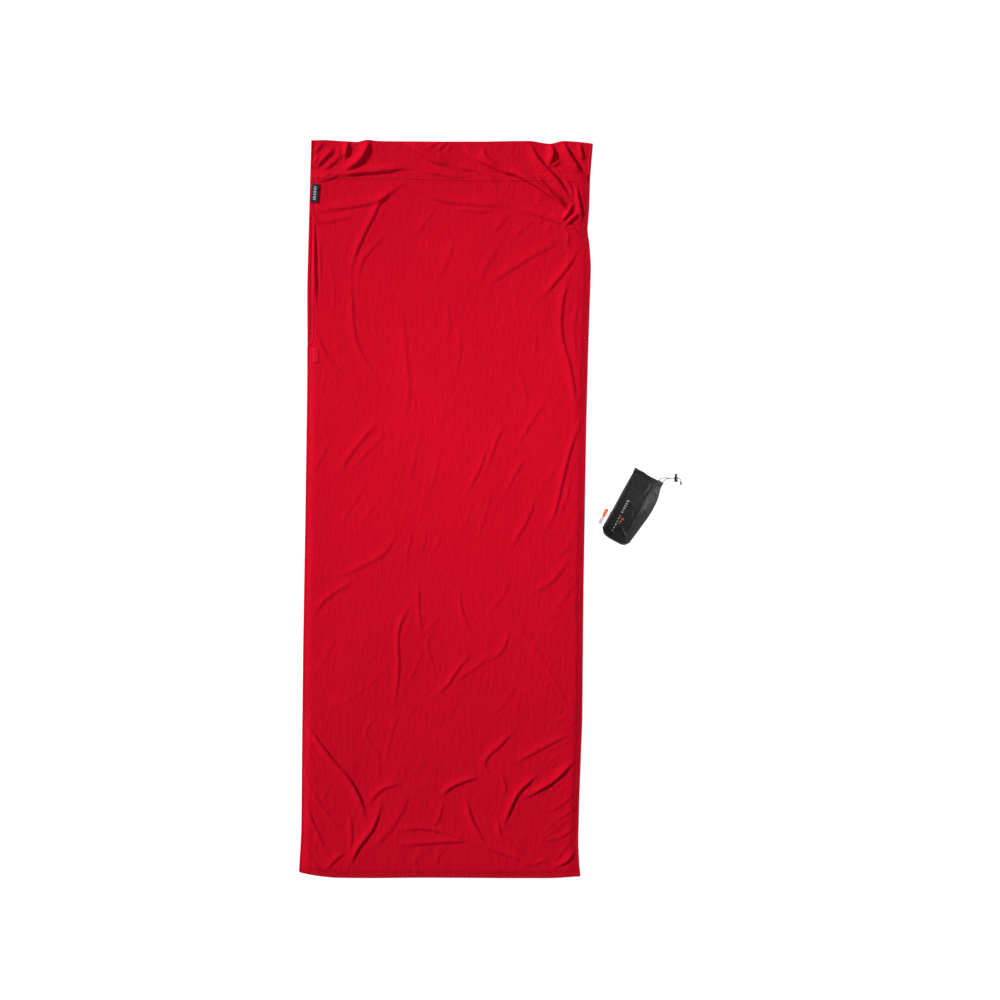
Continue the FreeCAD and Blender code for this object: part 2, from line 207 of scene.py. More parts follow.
class Shader:
    """A material's node tree, with short ways to add and join nodes."""

    def __init__(self, name, **finish):
        self.material = bpy.data.materials.new(name)
        self.material.use_nodes = True
        self.tree = self.material.node_tree
        self.surface = self.tree.nodes["Principled BSDF"]
        for socket, value in finish.items():
            self.surface.inputs[socket.replace("_", " ")].default_value = value

    def node(self, kind, settings=None, **inputs):
        made = self.tree.nodes.new("ShaderNode" + kind)
        for key, value in (settings or {}).items():
            setattr(made, key, value)
        for key, value in inputs.items():
            self.feed(made.inputs[key.replace("_", " ")], value)
        return made

    def feed(self, socket, value):
        if isinstance(value, bpy.types.NodeSocket):
            self.tree.links.new(value, socket)
        else:
            socket.default_value = value

    def math(self, operation, first, second=0.0):
        made = self.node("Math", {"operation": operation})
        self.feed(made.inputs[0], first)
        self.feed(made.inputs[1], second)
        return made.outputs[0]

    def flat_place(self):
        """The cloth's own flat coordinates, in metres."""
        return self.node("UVMap", {"uv_map": FLAT_MAP}).outputs["UV"]

    def place(self):
        """The object's own coordinates, in metres."""
        return self.node("TexCoord").outputs["Object"]

    def scaled(self, place, scale, turn=0.0):
        made = self.node("Mapping", Vector=place, Scale=scale, Rotation=(0, 0, turn))
        return made.outputs["Vector"]

    def noise(self, place, scale, detail=2.0, roughness=0.5, distortion=0.0):
        made = self.node(
            "TexNoise", Vector=place, Scale=scale, Detail=detail,
            Roughness=roughness, Distortion=distortion,
        )
        return made.outputs["Fac"]

    def wave(self, place, direction, pitch, distortion=0.0):
        """Soft stripes."""
        made = self.node(
            "TexWave", {"wave_type": "BANDS", "bands_direction": direction},
            Vector=place, Scale=1 / pitch / math.tau, Distortion=distortion,
        )
        return made.outputs["Fac"]

    def times(self, value, factor):
        return self.math("MULTIPLY", value, factor)

    def spread(self, value, low, high, to_low=0.0, to_high=1.0):
        made = self.node("MapRange")
        self.feed(made.inputs["Value"], value)
        made.inputs["From Min"].default_value = low
        made.inputs["From Max"].default_value = high
        made.inputs["To Min"].default_value = to_low
        made.inputs["To Max"].default_value = to_high
        return made.outputs["Result"]

    def mix(self, share, first, second):
        made = self.node("Mix", {"data_type": "RGBA"})
        self.feed(made.inputs[0], share)
        self.feed(made.inputs[6], first)
        self.feed(made.inputs[7], second)
        return made.outputs[2]

    def bump(self, height, depth, strength=1.0, under=None):
        made = self.node("Bump", Strength=strength, Distance=depth, Height=height)
        if under is not None:
            self.feed(made.inputs["Normal"], under)
        return made.outputs["Normal"]

    def finish(self, colour=None, normal=None, roughness=None):
        if colour is not None:
            self.feed(self.surface.inputs["Base Color"], colour)
        if normal is not None:
            self.feed(self.surface.inputs["Normal"], normal)
        if roughness is not None:
            self.feed(self.surface.inputs["Roughness"], roughness)
        return self.material


def tone(colour, factor):
    return (*(channel * factor for channel in colour), 1.0)


FLAT_MAP = "flat"
KNIT_COLUMN = 0.0016
KNIT_ROW = 0.0012
KNIT_SLANT = 1.3
THREAD_PITCH = 0.0009
BRAID_PITCH = 0.0016
WEAVE_PITCH = 0.0011
RIPSTOP_PITCH = 0.006
NYLON_WEAR = 1.6


def knit_height(shader, place):
    """Rows of small V stitches in columns, from the cloth's flat coordinates."""
    parts = shader.node("SeparateXYZ", Vector=place)
    across = shader.times(parts.outputs["X"], 1 / KNIT_COLUMN)
    along = shader.times(parts.outputs["Y"], 1 / KNIT_ROW)
    middle = shader.math("ABSOLUTE", shader.math("SUBTRACT", shader.math("FRACT", across), 0.5))
    skewed = shader.math("ADD", along, shader.times(middle, KNIT_SLANT))
    rows = shader.math("SINE", shader.times(skewed, math.tau))
    columns = shader.math("SINE", shader.times(middle, math.tau))
    return shader.times(rows, columns)


def jersey(name, colour, grain=1.0):
    """Brushed stretch knit with a faint heather. grain is how much the fibres vary."""
    shader = Shader(
        name,
        Roughness=0.86,
        Specular_IOR_Level=0.03,
        Sheen_Weight=0.07,
        Sheen_Roughness=0.45,
        Sheen_Tint=(1.0, 0.03, 0.06, 1.0),
    )
    place = shader.flat_place()
    mottled = shader.spread(shader.noise(place, 5.0, 3.0), 0.35, 0.65)
    flecks = shader.spread(shader.noise(place, 400.0, 2.0, 0.6), 0.36, 0.64)
    broad = shader.mix(mottled, tone(colour, 0.97), tone(colour, 1.03))
    shade = shader.mix(shader.times(flecks, 0.42 * grain), broad, tone(colour, 1.45))
    heather = shader.spread(shader.noise(place, 210.0, 3.0, 0.8), 0.38, 0.62, 0.88, 1.12)
    scaled = shader.node("VectorMath", {"operation": "SCALE"}, Vector=shade, Scale=heather)
    pilling = shader.spread(shader.noise(place, 1500.0, 1.0), 0.62, 0.80)
    shade = shader.mix(shader.times(pilling, 0.25), scaled.outputs["Vector"], tone(colour, 0.55))
    knit = shader.bump(knit_height(shader, place), 0.00012, 0.6)
    fuzz = shader.bump(shader.noise(place, 700.0, 3.0, 0.7), 0.0005, 0.45, knit)
    rumple = shader.noise(shader.scaled(place, (1.0, 0.55, 1.0), 0.5), 45.0, 2.0, 0.5, 0.8)
    normal = shader.bump(rumple, 0.004, 0.22, fuzz)
    ripple = shader.noise(shader.scaled(place, (1.0, 0.28, 1.0), 0.25), 80.0, 1.0)
    normal = shader.bump(ripple, 0.0035, 0.30, normal)
    return shader.finish(shade, normal, shader.spread(flecks, 0.0, 1.0, 0.80, 0.92))


def thread(name, colour):
    """Twisted sewing thread."""
    shader = Shader(name, Roughness=0.55, Specular_IOR_Level=0.25, Sheen_Weight=0.15)
    twist = shader.wave(shader.place(), "DIAGONAL", THREAD_PITCH, 0.5)
    shade = shader.mix(twist, tone(colour, 0.75), tone(colour, 1.2))
    return shader.finish(shade, shader.bump(twist, 0.0002, 0.6))


def plain_weave(shader, place):
    """The small over and under squares of a plain woven cloth."""
    parts = shader.node("SeparateXYZ", Vector=place)
    across, along = (
        shader.math("SINE", shader.times(parts.outputs[axis], math.tau / WEAVE_PITCH))
        for axis in "XY"
    )
    return shader.times(across, along)


def coated_nylon(name, colour, rough):
    """Thin coated cloth, with heavier yarns at even steps and worn, paler spots."""
    shader = Shader(name, Specular_IOR_Level=0.30, Coat_Weight=0.05, Coat_Roughness=0.35)
    place = shader.flat_place()
    grid_lines = shader.spread(shader.wave(place, "X", RIPSTOP_PITCH), 0.93, 1.0)
    mottled = shader.spread(shader.noise(place, 28.0, 4.0, 0.6), 0.35, 0.7)
    scuffs = shader.spread(shader.noise(place, 160.0, 5.0, 0.75), 0.60, 0.78)
    shade = shader.mix(mottled, tone(colour, 0.85), tone(colour, 1.25))
    shade = shader.mix(shader.times(scuffs, 0.35), shade, tone(colour, NYLON_WEAR * 1.4))
    shade = shader.mix(shader.times(grid_lines, 0.25), shade, tone(colour, NYLON_WEAR))
    normal = shader.bump(plain_weave(shader, place), 0.0001, 0.5)
    normal = shader.bump(shader.noise(place, 70.0, 3.0, 0.6, 0.6), 0.0022, 0.35, normal)
    roughness = shader.spread(mottled, 0.0, 1.0, rough - 0.05, rough + 0.08)
    return shader.finish(shade, normal, roughness)


def tape(name, colour, pitch):
    """Ribbed woven tape or label cloth."""
    shader = Shader(name, Specular_IOR_Level=0.15, Sheen_Weight=0.03, Sheen_Roughness=0.4)
    place = shader.place()
    ribs = shader.wave(place, "Y", pitch, 0.3)
    fibres = shader.noise(place, 1400.0, 2.0)
    shade = shader.mix(ribs, tone(colour, 0.8), tone(colour, 1.12))
    shade = shader.mix(shader.times(fibres, 0.3), shade, tone(colour, 1.35))
    normal = shader.bump(ribs, 0.0002, 0.5)
    return shader.finish(shade, normal, shader.spread(fibres, 0.3, 0.7, 0.55, 0.75))


def braid(name, dark, light):
    """Round braided cord: a dark sheath with paler tracer yarns."""
    shader = Shader(name, Roughness=0.7, Specular_IOR_Level=0.25, Sheen_Weight=0.2)
    place = shader.place()
    one = shader.wave(place, "DIAGONAL", BRAID_PITCH)
    other = shader.wave(shader.scaled(place, (-1.0, 1.0, -1.0)), "DIAGONAL", BRAID_PITCH)
    woven = shader.math("MAXIMUM", one, other)
    tracer = shader.spread(shader.noise(place, 330.0, 2.0), 0.50, 0.58)
    shade = shader.mix(shader.times(woven, tracer), (*dark, 1.0), (*light, 1.0))
    return shader.finish(shade, shader.bump(woven, 0.0003, 0.8))


def moulded_plastic(name, colour):
    shader = Shader(name, Specular_IOR_Level=0.45)
    place = shader.place()
    grain = shader.noise(place, 2600.0, 3.0, 0.6)
    handling = shader.spread(shader.noise(place, 240.0, 3.0), 0.45, 0.75)
    shade = shader.mix(handling, tone(colour, 0.9), tone(colour, 1.5))
    roughness = shader.spread(handling, 0.0, 1.0, 0.36, 0.55)
    return shader.finish(shade, shader.bump(grain, 0.00008, 0.5), roughness)


def steel(name):
    shader = Shader(name, Metallic=1.0)
    place = shader.place()
    drawn = shader.noise(shader.scaled(place, (1, 1, 9)), 900.0, 2.0)
    shade = shader.mix(drawn, (0.42, 0.43, 0.45, 1), (0.66, 0.67, 0.69, 1))
    roughness = shader.spread(drawn, 0, 1, 0.22, 0.4)
    return shader.finish(shade, shader.bump(drawn, 0.00004, 0.5), roughness)


RED = (0.335, 0.0009, 0.0095)
SEAM_RED = tone(RED, 0.94)[:3]
JERSEY = jersey("red_jersey_knit", RED)
HEM_JERSEY = jersey("red_hem_knit", RED, 1.2)
SEAM_JERSEY = jersey("red_seam_knit", SEAM_RED, 1.5)
PATCH_JERSEY = jersey("red_patch_knit", (0.345, 0.0025, 0.012), 1.3)
RED_THREAD = thread("red_thread", (0.46, 0.010, 0.028))
BLACK_THREAD = thread("black_thread", (0.11, 0.11, 0.115))
LABEL_CLOTH = tape("black_label_weave", (0.006, 0.0075, 0.008), 0.0007)
LABEL_MARK = tape("grey_label_yarn", (0.19, 0.21, 0.25), 0.0006)
NYLON = coated_nylon("black_coated_nylon", (0.0092, 0.0092, 0.0098), 0.44)
BASE_NYLON = coated_nylon("black_base_nylon", (0.0095, 0.0095, 0.010), 0.50)
BINDING = tape("black_binding_tape", (0.012, 0.012, 0.013), 0.0011)
CORD_BRAID = braid("grey_black_braid", (0.014, 0.0145, 0.016), (0.075, 0.078, 0.084))
LOCK_PLASTIC = moulded_plastic("black_lock_plastic", (0.012, 0.012, 0.013))
SPRING_STEEL = steel("spring_steel")
WHITE_TAG = tape("white_tag_satin", (0.86, 0.85, 0.85), 0.0008)
CORAL_PRINT = tape("coral_tag_print", (0.58, 0.085, 0.042), 0.0008)
MAUVE_PRINT = tape("mauve_tag_print", (0.43, 0.33, 0.36), 0.0008)
PRINT_WHITE = tape("white_transfer_print", (0.40, 0.41, 0.45), 0.0016)
PRINT_RED = tape("coral_transfer_print", (0.55, 0.045, 0.030), 0.0016)
PRINT_OCHRE = tape("ochre_transfer_print", (0.38, 0.25, 0.055), 0.0016)


# ---- mesh helpers


def made_mesh(name, vertices, faces, material, flat=None):
    """A mesh object from arrays. flat gives each vertex its place on the flat cloth."""
    mesh = bpy.data.meshes.new(name)
    vertices = np.asarray(vertices, np.float64).reshape(-1, 3)
    mesh.from_pydata(vertices.tolist(), [], [tuple(face) for face in faces])
    mesh.polygons.foreach_set("use_smooth", [True] * len(mesh.polygons))
    if flat is not None:
        layer = mesh.uv_layers.new(name=FLAT_MAP)
        corner = np.zeros(len(mesh.loops), np.int32)
        mesh.loops.foreach_get("vertex_index", corner)
        layer.data.foreach_set("uv", np.asarray(flat, np.float32).reshape(-1, 2)[corner].ravel())
    mesh.materials.append(material)
    mesh.validate()
    obj = bpy.data.objects.new(name, mesh)
    bpy.context.scene.collection.objects.link(obj)
    return obj


def grid_faces(rows, columns, around=False, first=0):
    """Quads of a grid of points. around joins the last column to the first."""
    row, column = np.mgrid[0:rows - 1, 0:columns if around else columns - 1]
    onward = (column + 1) % columns
    corners = [
        row * columns + column,
        row * columns + onward,
        (row + 1) * columns + onward,
        (row + 1) * columns + column,
    ]
    return (np.stack(corners, -1).reshape(-1, 4) + first).tolist()


def tube_faces(rows, sides, first=0):
    """The faces of a tube with both ends filled."""
    last = first + (rows - 1) * sides
    ends = [list(range(first, first + sides))[::-1], list(range(last, last + sides))]
    return grid_faces(rows, sides, True, first) + ends


def directions(line):
    """Which way a line runs at each of its points, as unit vectors."""
    tangent = np.gradient(line, axis=0)
    return tangent / (np.linalg.norm(tangent, axis=1)[:, None] + 1e-12)


def nearest_point(places, line):
    """For each place, the number of the line's nearest point, and the squared distance to it."""
    nearest = np.zeros(len(places), int)
    best = np.full(len(places), np.inf)
    for number, point in enumerate(line):
        away = ((places - point) ** 2).sum(1)
        closer = away < best
        best[closer] = away[closer]
        nearest[closer] = number
    return nearest, best


def smooth_route(points, step):
    """Evenly stepped points on a smooth line through the given ones."""
    points = np.asarray(points, float)
    if len(points) == 2:
        points = np.array([points[0], points.mean(0), points[1]])
    ends = np.vstack([2 * points[0] - points[1], points, 2 * points[-1] - points[-2]])
    pieces = []
    for i in range(len(points) - 1):
        a, b, c, d = ends[i:i + 4]
        count = max(2, int(np.linalg.norm(c - b) / step) + 1)
        t = np.linspace(0, 1, count, endpoint=False)[:, None]
        pieces.append(0.5 * (
            2 * b + (c - a) * t + (2 * a - 5 * b + 4 * c - d) * t ** 2
            + (3 * b - a - 3 * c + d) * t ** 3
        ))
    return np.vstack([*pieces, points[-1:]])


def ease(value):
    """0 up to 0, 1 from 1, and a smooth rise between."""
    value = np.clip(value, 0.0, 1.0)
    return value * value * (3 - 2 * value)


def straight(start, stop, count):
    """Evenly spaced points from one place to another."""
    return np.linspace(start, stop, count)


def run_along(line):
    """How far along a line each of its points is."""
    return np.concatenate([[0], np.cumsum(np.linalg.norm(np.diff(line, axis=0), axis=1))])


def places_at(at, run, line):
    """The places on a line at given distances along it. run is its run_along."""
    return np.stack([np.interp(at, run, column) for column in line.T], -1)


def eased_curve(pairs, soften):
    """A function through (place, value) pairs, with its corners rounded."""
    places, values = np.array(pairs, float).T
    fine = np.linspace(places[0] - 4 * soften, places[-1] + 4 * soften, 1500)
    spacing = fine[1] - fine[0]
    half = int(3 * soften / spacing) + 1
    kernel = np.exp(-0.5 * (np.arange(-half, half + 1) * spacing / soften) ** 2)
    padded = np.pad(np.interp(fine, places, values), half, "edge")
    rounded = np.convolve(padded, kernel / kernel.sum(), "valid")
    return lambda at: np.interp(at, fine, rounded)


def finished(obj, body, slot, *nodes):
    """Ride a body and stand for CAD nodes. slot is not used."""
    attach(obj, body)
    if nodes:
        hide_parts(*nodes)
    return obj


# ---- the sheet's own frame

SHEET_WIDTH = 0.840
SHEET_LENGTH = 2.186
SHEET_LEAN = math.radians(0.97)
MOUTH = 0.089
MOUTH_HEM = 0.025
POCKET_DEPTH = 0.235
SLIT_END = 0.614
LIP_INSET = 0.008

sheet_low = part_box("back_panel")[0]
FOOT_LEFT = (sheet_low.x, sheet_low.y + SHEET_WIDTH * math.sin(SHEET_LEAN))


def on_sheet(across, down, height):
    """Places in the row frame. across runs from the left edge, down from the head edge."""
    along = SHEET_LENGTH - down
    x = FOOT_LEFT[0] + across * math.cos(SHEET_LEAN) + along * math.sin(SHEET_LEAN)
    y = FOOT_LEFT[1] - across * math.sin(SHEET_LEAN) + along * math.cos(SHEET_LEAN)
    return np.stack(np.broadcast_arrays(x, y, height), -1)


# How far the edges wander, in millimetres: the two sides towards +X, the head edge up, and
# the foot edge and the mouth down. Each pair is a place along the edge and its wander.
LEFT_WANDER = eased_curve([
    (0.00, 0), (0.15, -2), (0.44, -5), (0.66, 0), (0.77, 1), (1.16, 2), (1.53, 2), (1.84, 4),
    (2.06, 6), (2.14, 3), (2.186, 0),
], 0.03)
RIGHT_WANDER = eased_curve([
    (0.00, 0), (0.05, -4), (0.10, -7), (0.19, -8), (0.26, -13), (0.29, -6), (0.36, 0), (0.43, -1),
    (0.61, -4), (0.83, -6), (1.32, -6), (1.72, -3), (1.95, -8), (2.08, -9), (2.15, -5), (2.186, 0),
], 0.012)
HEAD_WANDER = eased_curve([
    (0.00, 0), (0.04, 1.5), (0.12, -2), (0.14, -3), (0.165, 5), (0.20, 1), (0.30, 1.5), (0.38, 2.5),
    (0.52, 5), (0.60, 8), (0.66, 9), (0.70, 2), (0.715, 1), (0.75, 11), (0.78, 10), (0.82, 7),
    (0.84, 4),
], 0.006)
FOOT_WANDER = eased_curve([
    (0.00, -4), (0.02, 2), (0.06, 8), (0.11, 12), (0.22, 11), (0.37, 7), (0.64, 4), (0.76, 2),
    (0.84, -5),
], 0.012)
MOUTH_WANDER = eased_curve([
    (0.00, 0), (0.10, 2), (0.30, -1), (0.50, 1), (0.70, -2), (0.84, 0),
], 0.04)


def outline(across, down):
    """Moves flat places so that the sheet's edges wander as they lie."""
    share = np.clip(across / SHEET_WIDTH, 0, 1)
    near_left = (1 - share) ** 2
    near_right = share ** 2
    sideways = LEFT_WANDER(down) * near_left + RIGHT_WANDER(down) * near_right
    near_head = np.exp(-(down / 0.05) ** 2)
    near_foot = np.exp(-((SHEET_LENGTH - down) / 0.10) ** 2)
    downward = FOOT_WANDER(across) * near_foot - HEAD_WANDER(across) * near_head
    return across + sideways * MM, down + downward * MM


# ---- folds in the cloth

LIT_FROM = np.array([-0.82, -0.57])
CELL = 0.0022
MARGIN = 0.03

# Each fold: height in millimetres, width of its steep side in centimetres, reach of its
# gentle side in centimetres, and its line in centimetres across and down from the head.
HEAD_FOLDS = [
    (3, 0.9, 1.6, [(0, 5.4), (2, 3.2), (4.2, 0.8)]),
    (4.5, 0.9, 1.8, [(1.4, 8.8), (4, 6), (7.5, 2.4)]),
    (6, 0.8, 1.2, [(0.6, 8.6), (1.3, 7), (2.6, 4.8)]),
    (3, 0.8, 1.6, [(3.4, 9.6), (6, 7.8), (9, 5)]),
    (7.5, 0.8, 1.8, [(11.6, 0), (11.1, 2.4), (10.7, 5.4)]),
    (3, 0.8, 1.3, [(9.2, 1.8), (8.8, 3.6), (9.4, 5.4)]),
    (8.5, 1, 2.6, [(17.8, 0), (17, 2.8), (14.6, 6.4), (10, 9.4)]),
    (5.5, 0.9, 2.4, [(7, 11), (14, 10), (21.5, 9.2), (30, 8.2)]),
    (2.5, 1.2, 2.5, [(2.2, 12.8), (9, 10.6)]),
    (3.5, 0.7, 1.2, [(3, 9.4), (5, 10.4), (6.4, 10.8)]),
    (3, 0.6, 1, [(1.4, 9.6), (2.4, 11), (2, 12.4)]),
    (5, 1, 3.2, [(27.4, 0.6), (32, 3.4), (36.5, 6), (42, 7.6)]),
    (2, 0.8, 1.6, [(34.5, 2.4), (37, 1.2), (38.6, 0.2)]),
    (2, 0.8, 1.6, [(37.5, 3), (39.6, 1.6), (41, 0.2)]),
    (1.6, 0.8, 1.5, [(40.5, 3.2), (42.5, 1.6)]),
    (2.2, 1, 2.4, [(33.5, 9.2), (40, 10), (46, 11.8)]),
    (6.5, 0.9, 2.6, [(45.3, 0.2), (48, 4.4), (57, 8.6), (62, 9.8), (69, 13.6), (77, 19.4)]),
    (3.4, 0.9, 2, [(51.2, 1.6), (53, 4.4), (56.4, 6.5)]),
    (16, 0.7, 1.5, [(60.4, 9), (65, 11.3), (70, 14.2), (74, 17), (77.6, 20.4)]),
    (3.5, 0.6, 1, [(68, 9.4), (71, 12.4), (74, 15.6)]),
    (2.4, 1, 2.2, [(42, 7.6), (49, 8.6), (53, 10.6), (56, 14.4)]),
    (7.5, 0.9, 2.4, [(65.2, 0), (67.4, 3.4), (70, 6.2), (73, 9), (76, 12.4), (78.5, 16)]),
    (9, 0.9, 2, [(71.2, 0), (72.9, 2.8), (71.8, 6.6)]),
    (4, 0.7, 1.2, [(72, 6.8), (73.6, 6.2), (75, 5.6)]),
    (8, 0.9, 2.4, [(75.2, 0), (78, 3.8), (82.2, 8.6)]),
    (4.5, 0.8, 1.5, [(80.3, 0.2), (82, 5)]),
    (3, 0.8, 1.4, [(76.5, 10), (78.6, 13), (79.4, 16)]),
    (4.5, 0.8, 1.6, [(80.2, 12), (81.2, 17), (82.6, 22.5)]),
    (5, 0.7, 1.2, [(79.6, 17.2), (78.2, 20.4), (76.2, 23.4)]),
    (5, 0.7, 1.3, [(81.4, 20.6), (79.4, 22.4), (77.2, 24.6)]),
    (2.2, 0.6, 1.1, [(78.2, 23.6), (80.6, 25.4), (81.4, 27.6)]),
    (1.8, 0.6, 1, [(77.6, 24.4), (78.2, 27.4), (77.4, 31)]),
    (2.6, 0.7, 1.4, [(72.5, 21.5), (75, 22.2), (77, 23.4)]),
    (2.2, 0.8, 1.8, [(0.6, 21.4), (2.2, 23), (3.6, 25)]),
]
POCKET_EDGE = [
    (2.4, 1.4, 3.4, [(0.8, 22), (7, 20.8), (15, 19.6), (22, 17.4), (28, 13)]),
    (2.6, 1.4, 3.6, [(28.4, 13), (34.4, 15.6), (38.3, 17.4), (43, 18.2), (51, 18.8), (61, 19)]),
    (2, 1.3, 2.6, [(43.5, 20), (50, 20.6), (56, 20.6)]),
    (2.8, 1.3, 2.8, [(61, 19.2), (67, 21), (74, 23.2), (77, 24.4), (82.6, 27.4)]),
    (1.4, 1.6, 2.4, [(1.6, 25.4), (8, 24), (14, 22.6)]),
]
UPPER_FOLDS = [
    (5.5, 1, 2.6, [(28.4, 12), (22, 17.4), (19.4, 22.6), (16.5, 28.6), (14, 35), (12.9, 41)]),
    (4, 1.2, 3, [(12.9, 40), (13.6, 47), (15, 60), (22, 72)]),
    (3, 1.2, 2.8, [(24, 27), (16.7, 35.6), (15.3, 43)]),
    (1.8, 1.4, 2.6, [(38, 19.4), (35, 24), (32, 28.5)]),
    (1.8, 1.4, 2.8, [(43.8, 28), (42, 34.5), (38.3, 42.4)]),
    (2.2, 1.3, 3, [(60.3, 21.3), (55.3, 27.3)]),
    (1.8, 1.3, 2.8, [(68.2, 22.4), (61.6, 28)]),
    (2, 1.6, 3.4, [(57.7, 29), (54, 36), (50.5, 43)]),
    (3, 1.4, 4.2, [(76.8, 28.2), (64.5, 35.3), (53, 43)]),
    (5, 1.1, 3, [(81, 31), (77, 37.3), (69.6, 46.6)]),
    (12, 1.2, 1.6, [(1.5, 22.5), (1.9, 30), (2.4, 40), (2.8, 50)]),
    (3, 0.9, 1.4, [(3.4, 28), (4, 36), (4.2, 44)]),
    (1.4, 1.1, 2, [(7.5, 38), (8.4, 46), (8, 53)]),
    (1.2, 1, 2, [(12, 30), (11, 37)]),
    (4, 1, 2.4, [(2.6, 56), (4, 60), (6.6, 65), (11.6, 70.4)]),
    (2.4, 1.5, 3.4, [(28.2, 48), (29.5, 60), (30.7, 72), (30.5, 79), (28, 84.4)]),
    (1.4, 1.2, 2.4, [(42, 47), (42.5, 55), (41.8, 61)]),
    (1.5, 1.2, 2.4, [(45.5, 53), (46, 62), (44.5, 70)]),
    (4.2, 1, 2.8, [(21.8, 83.6), (15.5, 91), (10, 99)]),
    (2.4, 1.1, 2.2, [(24, 87), (19.4, 92), (14, 98)]),
    (2.2, 1.2, 2.4, [(7.2, 90), (3, 98.6)]),
    (1.5, 1.4, 2.6, [(35.5, 84), (33, 94), (31, 103)]),
    (1.5, 1.4, 2.4, [(41, 90), (39, 99), (36, 107)]),
    (1.6, 1.2, 2.4, [(18, 103), (13, 111), (10, 117)]),
    (1.4, 1.2, 2.2, [(22, 107), (17, 114)]),
]
RIGHT_FOLDS = [
    (7, 1, 3.2, [(79, 37), (76.4, 46), (76.2, 56), (78.8, 65.6), (80.6, 74), (81.2, 81)]),
    (3, 1.4, 2.6, [(80.8, 44), (80, 56), (81.2, 66)]),
    (7, 0.9, 2.6, [(83, 81.5), (80, 90), (77.8, 98.6), (75.6, 108.6), (72.8, 116)]),
    (2, 1.4, 2.8, [(63, 66.6), (66, 74.3), (65.8, 80)]),
    (2.2, 1, 1.8, [(69, 57), (68.4, 62), (67.4, 66)]),
    (3.4, 1.2, 2.6, [(72.6, 75.6), (67.4, 83.5), (63.2, 91.2)]),
    (4, 1, 2.6, [(60, 82.4), (57, 89.8), (54.2, 98.4)]),
    (4.4, 1, 2.8, [(54.8, 90), (52, 98), (48.2, 105)]),
    (4, 1, 2.4, [(66.6, 93), (63, 98.8), (60, 105)]),
    (2.2, 1.2, 2.4, [(76.2, 95.6), (71.8, 102)]),
    (4, 1.1, 2.8, [(69.8, 105), (66.6, 113), (61.2, 122.4)]),
    (2, 1.2, 2.6, [(50.4, 106.8), (48, 115.6)]),
    (1.8, 1.2, 2.4, [(56.4, 104), (53.6, 113), (52, 119)]),
    (2.2, 1.2, 2.4, [(80, 97), (78.6, 106), (76, 112)]),
    (4.4, 1.1, 2.6, [(80.8, 122.4), (74.8, 130.4), (67.4, 135)]),
    (2, 1, 2, [(82, 115), (78, 121.5), (74.6, 125)]),
    (2, 1, 1.8, [(82.4, 130), (78, 136), (72.6, 140)]),
]
MIDDLE_FOLDS = [
    (4.2, 1, 3, [(28, 116.8), (24, 123), (17.6, 127), (10, 130.6)]),
    (4.2, 1.1, 3, [(16.4, 130.8), (7, 136.8), (2.8, 142.4)]),
    (2.6, 1.2, 2, [(32.4, 115.6), (30.8, 123)]),
    (2.6, 1.2, 2, [(36.8, 115.4), (35, 123)]),
    (2.2, 1.2, 2, [(40.8, 117), (38.8, 124)]),
    (5.5, 1, 2.4, [(34, 136), (29.6, 143), (28.6, 149), (29, 157), (28.4, 164), (27.8, 168.4)]),
    (4, 1, 2.2, [(34.4, 130.4), (34.8, 139.8), (36, 147)]),
    (2.4, 1, 1.8, [(38, 146), (37.6, 151), (39.8, 156.6)]),
    (2.6, 1, 2, [(36.2, 152), (32.2, 161)]),
    (4, 1, 2.4, [(46.4, 133), (48, 140.2), (51, 147.4)]),
    (2, 1.2, 2.4, [(62.2, 130), (60, 135), (54.4, 141.4)]),
    (5.5, 1, 2.4, [(50.8, 152), (45.6, 158.8), (43.6, 162), (39.4, 165.6)]),
    (4, 1, 2.2, [(57, 152), (51.8, 156.8), (45, 161.3)]),
    (4, 1, 2.2, [(62.2, 144.8), (59.8, 151.6), (55, 155)]),
    (2.8, 0.9, 2, [(63.8, 144.6), (70.2, 150.8), (74.6, 157.6), (78.5, 165), (81, 169.4)]),
    (1.6, 0.9, 1.6, [(43, 139.6), (38, 145), (33, 150)]),
    (1.6, 0.9, 1.8, [(26.6, 156.4), (18, 164), (8.6, 170.6)]),
    (2.2, 1.1, 2, [(24.3, 169.4), (19.4, 176.4), (23.2, 183.2), (23.8, 192)]),
    (2, 1.1, 2, [(29.4, 170), (26.8, 177.5), (25.5, 185)]),
    (1.6, 1, 2, [(26, 184.6), (33, 189.6), (41, 195)]),
    (1.6, 1.2, 2.2, [(10, 148), (6, 156), (3, 160)]),
    (1.6, 1.2, 2.2, [(66, 160), (60, 168), (55, 172)]),
]
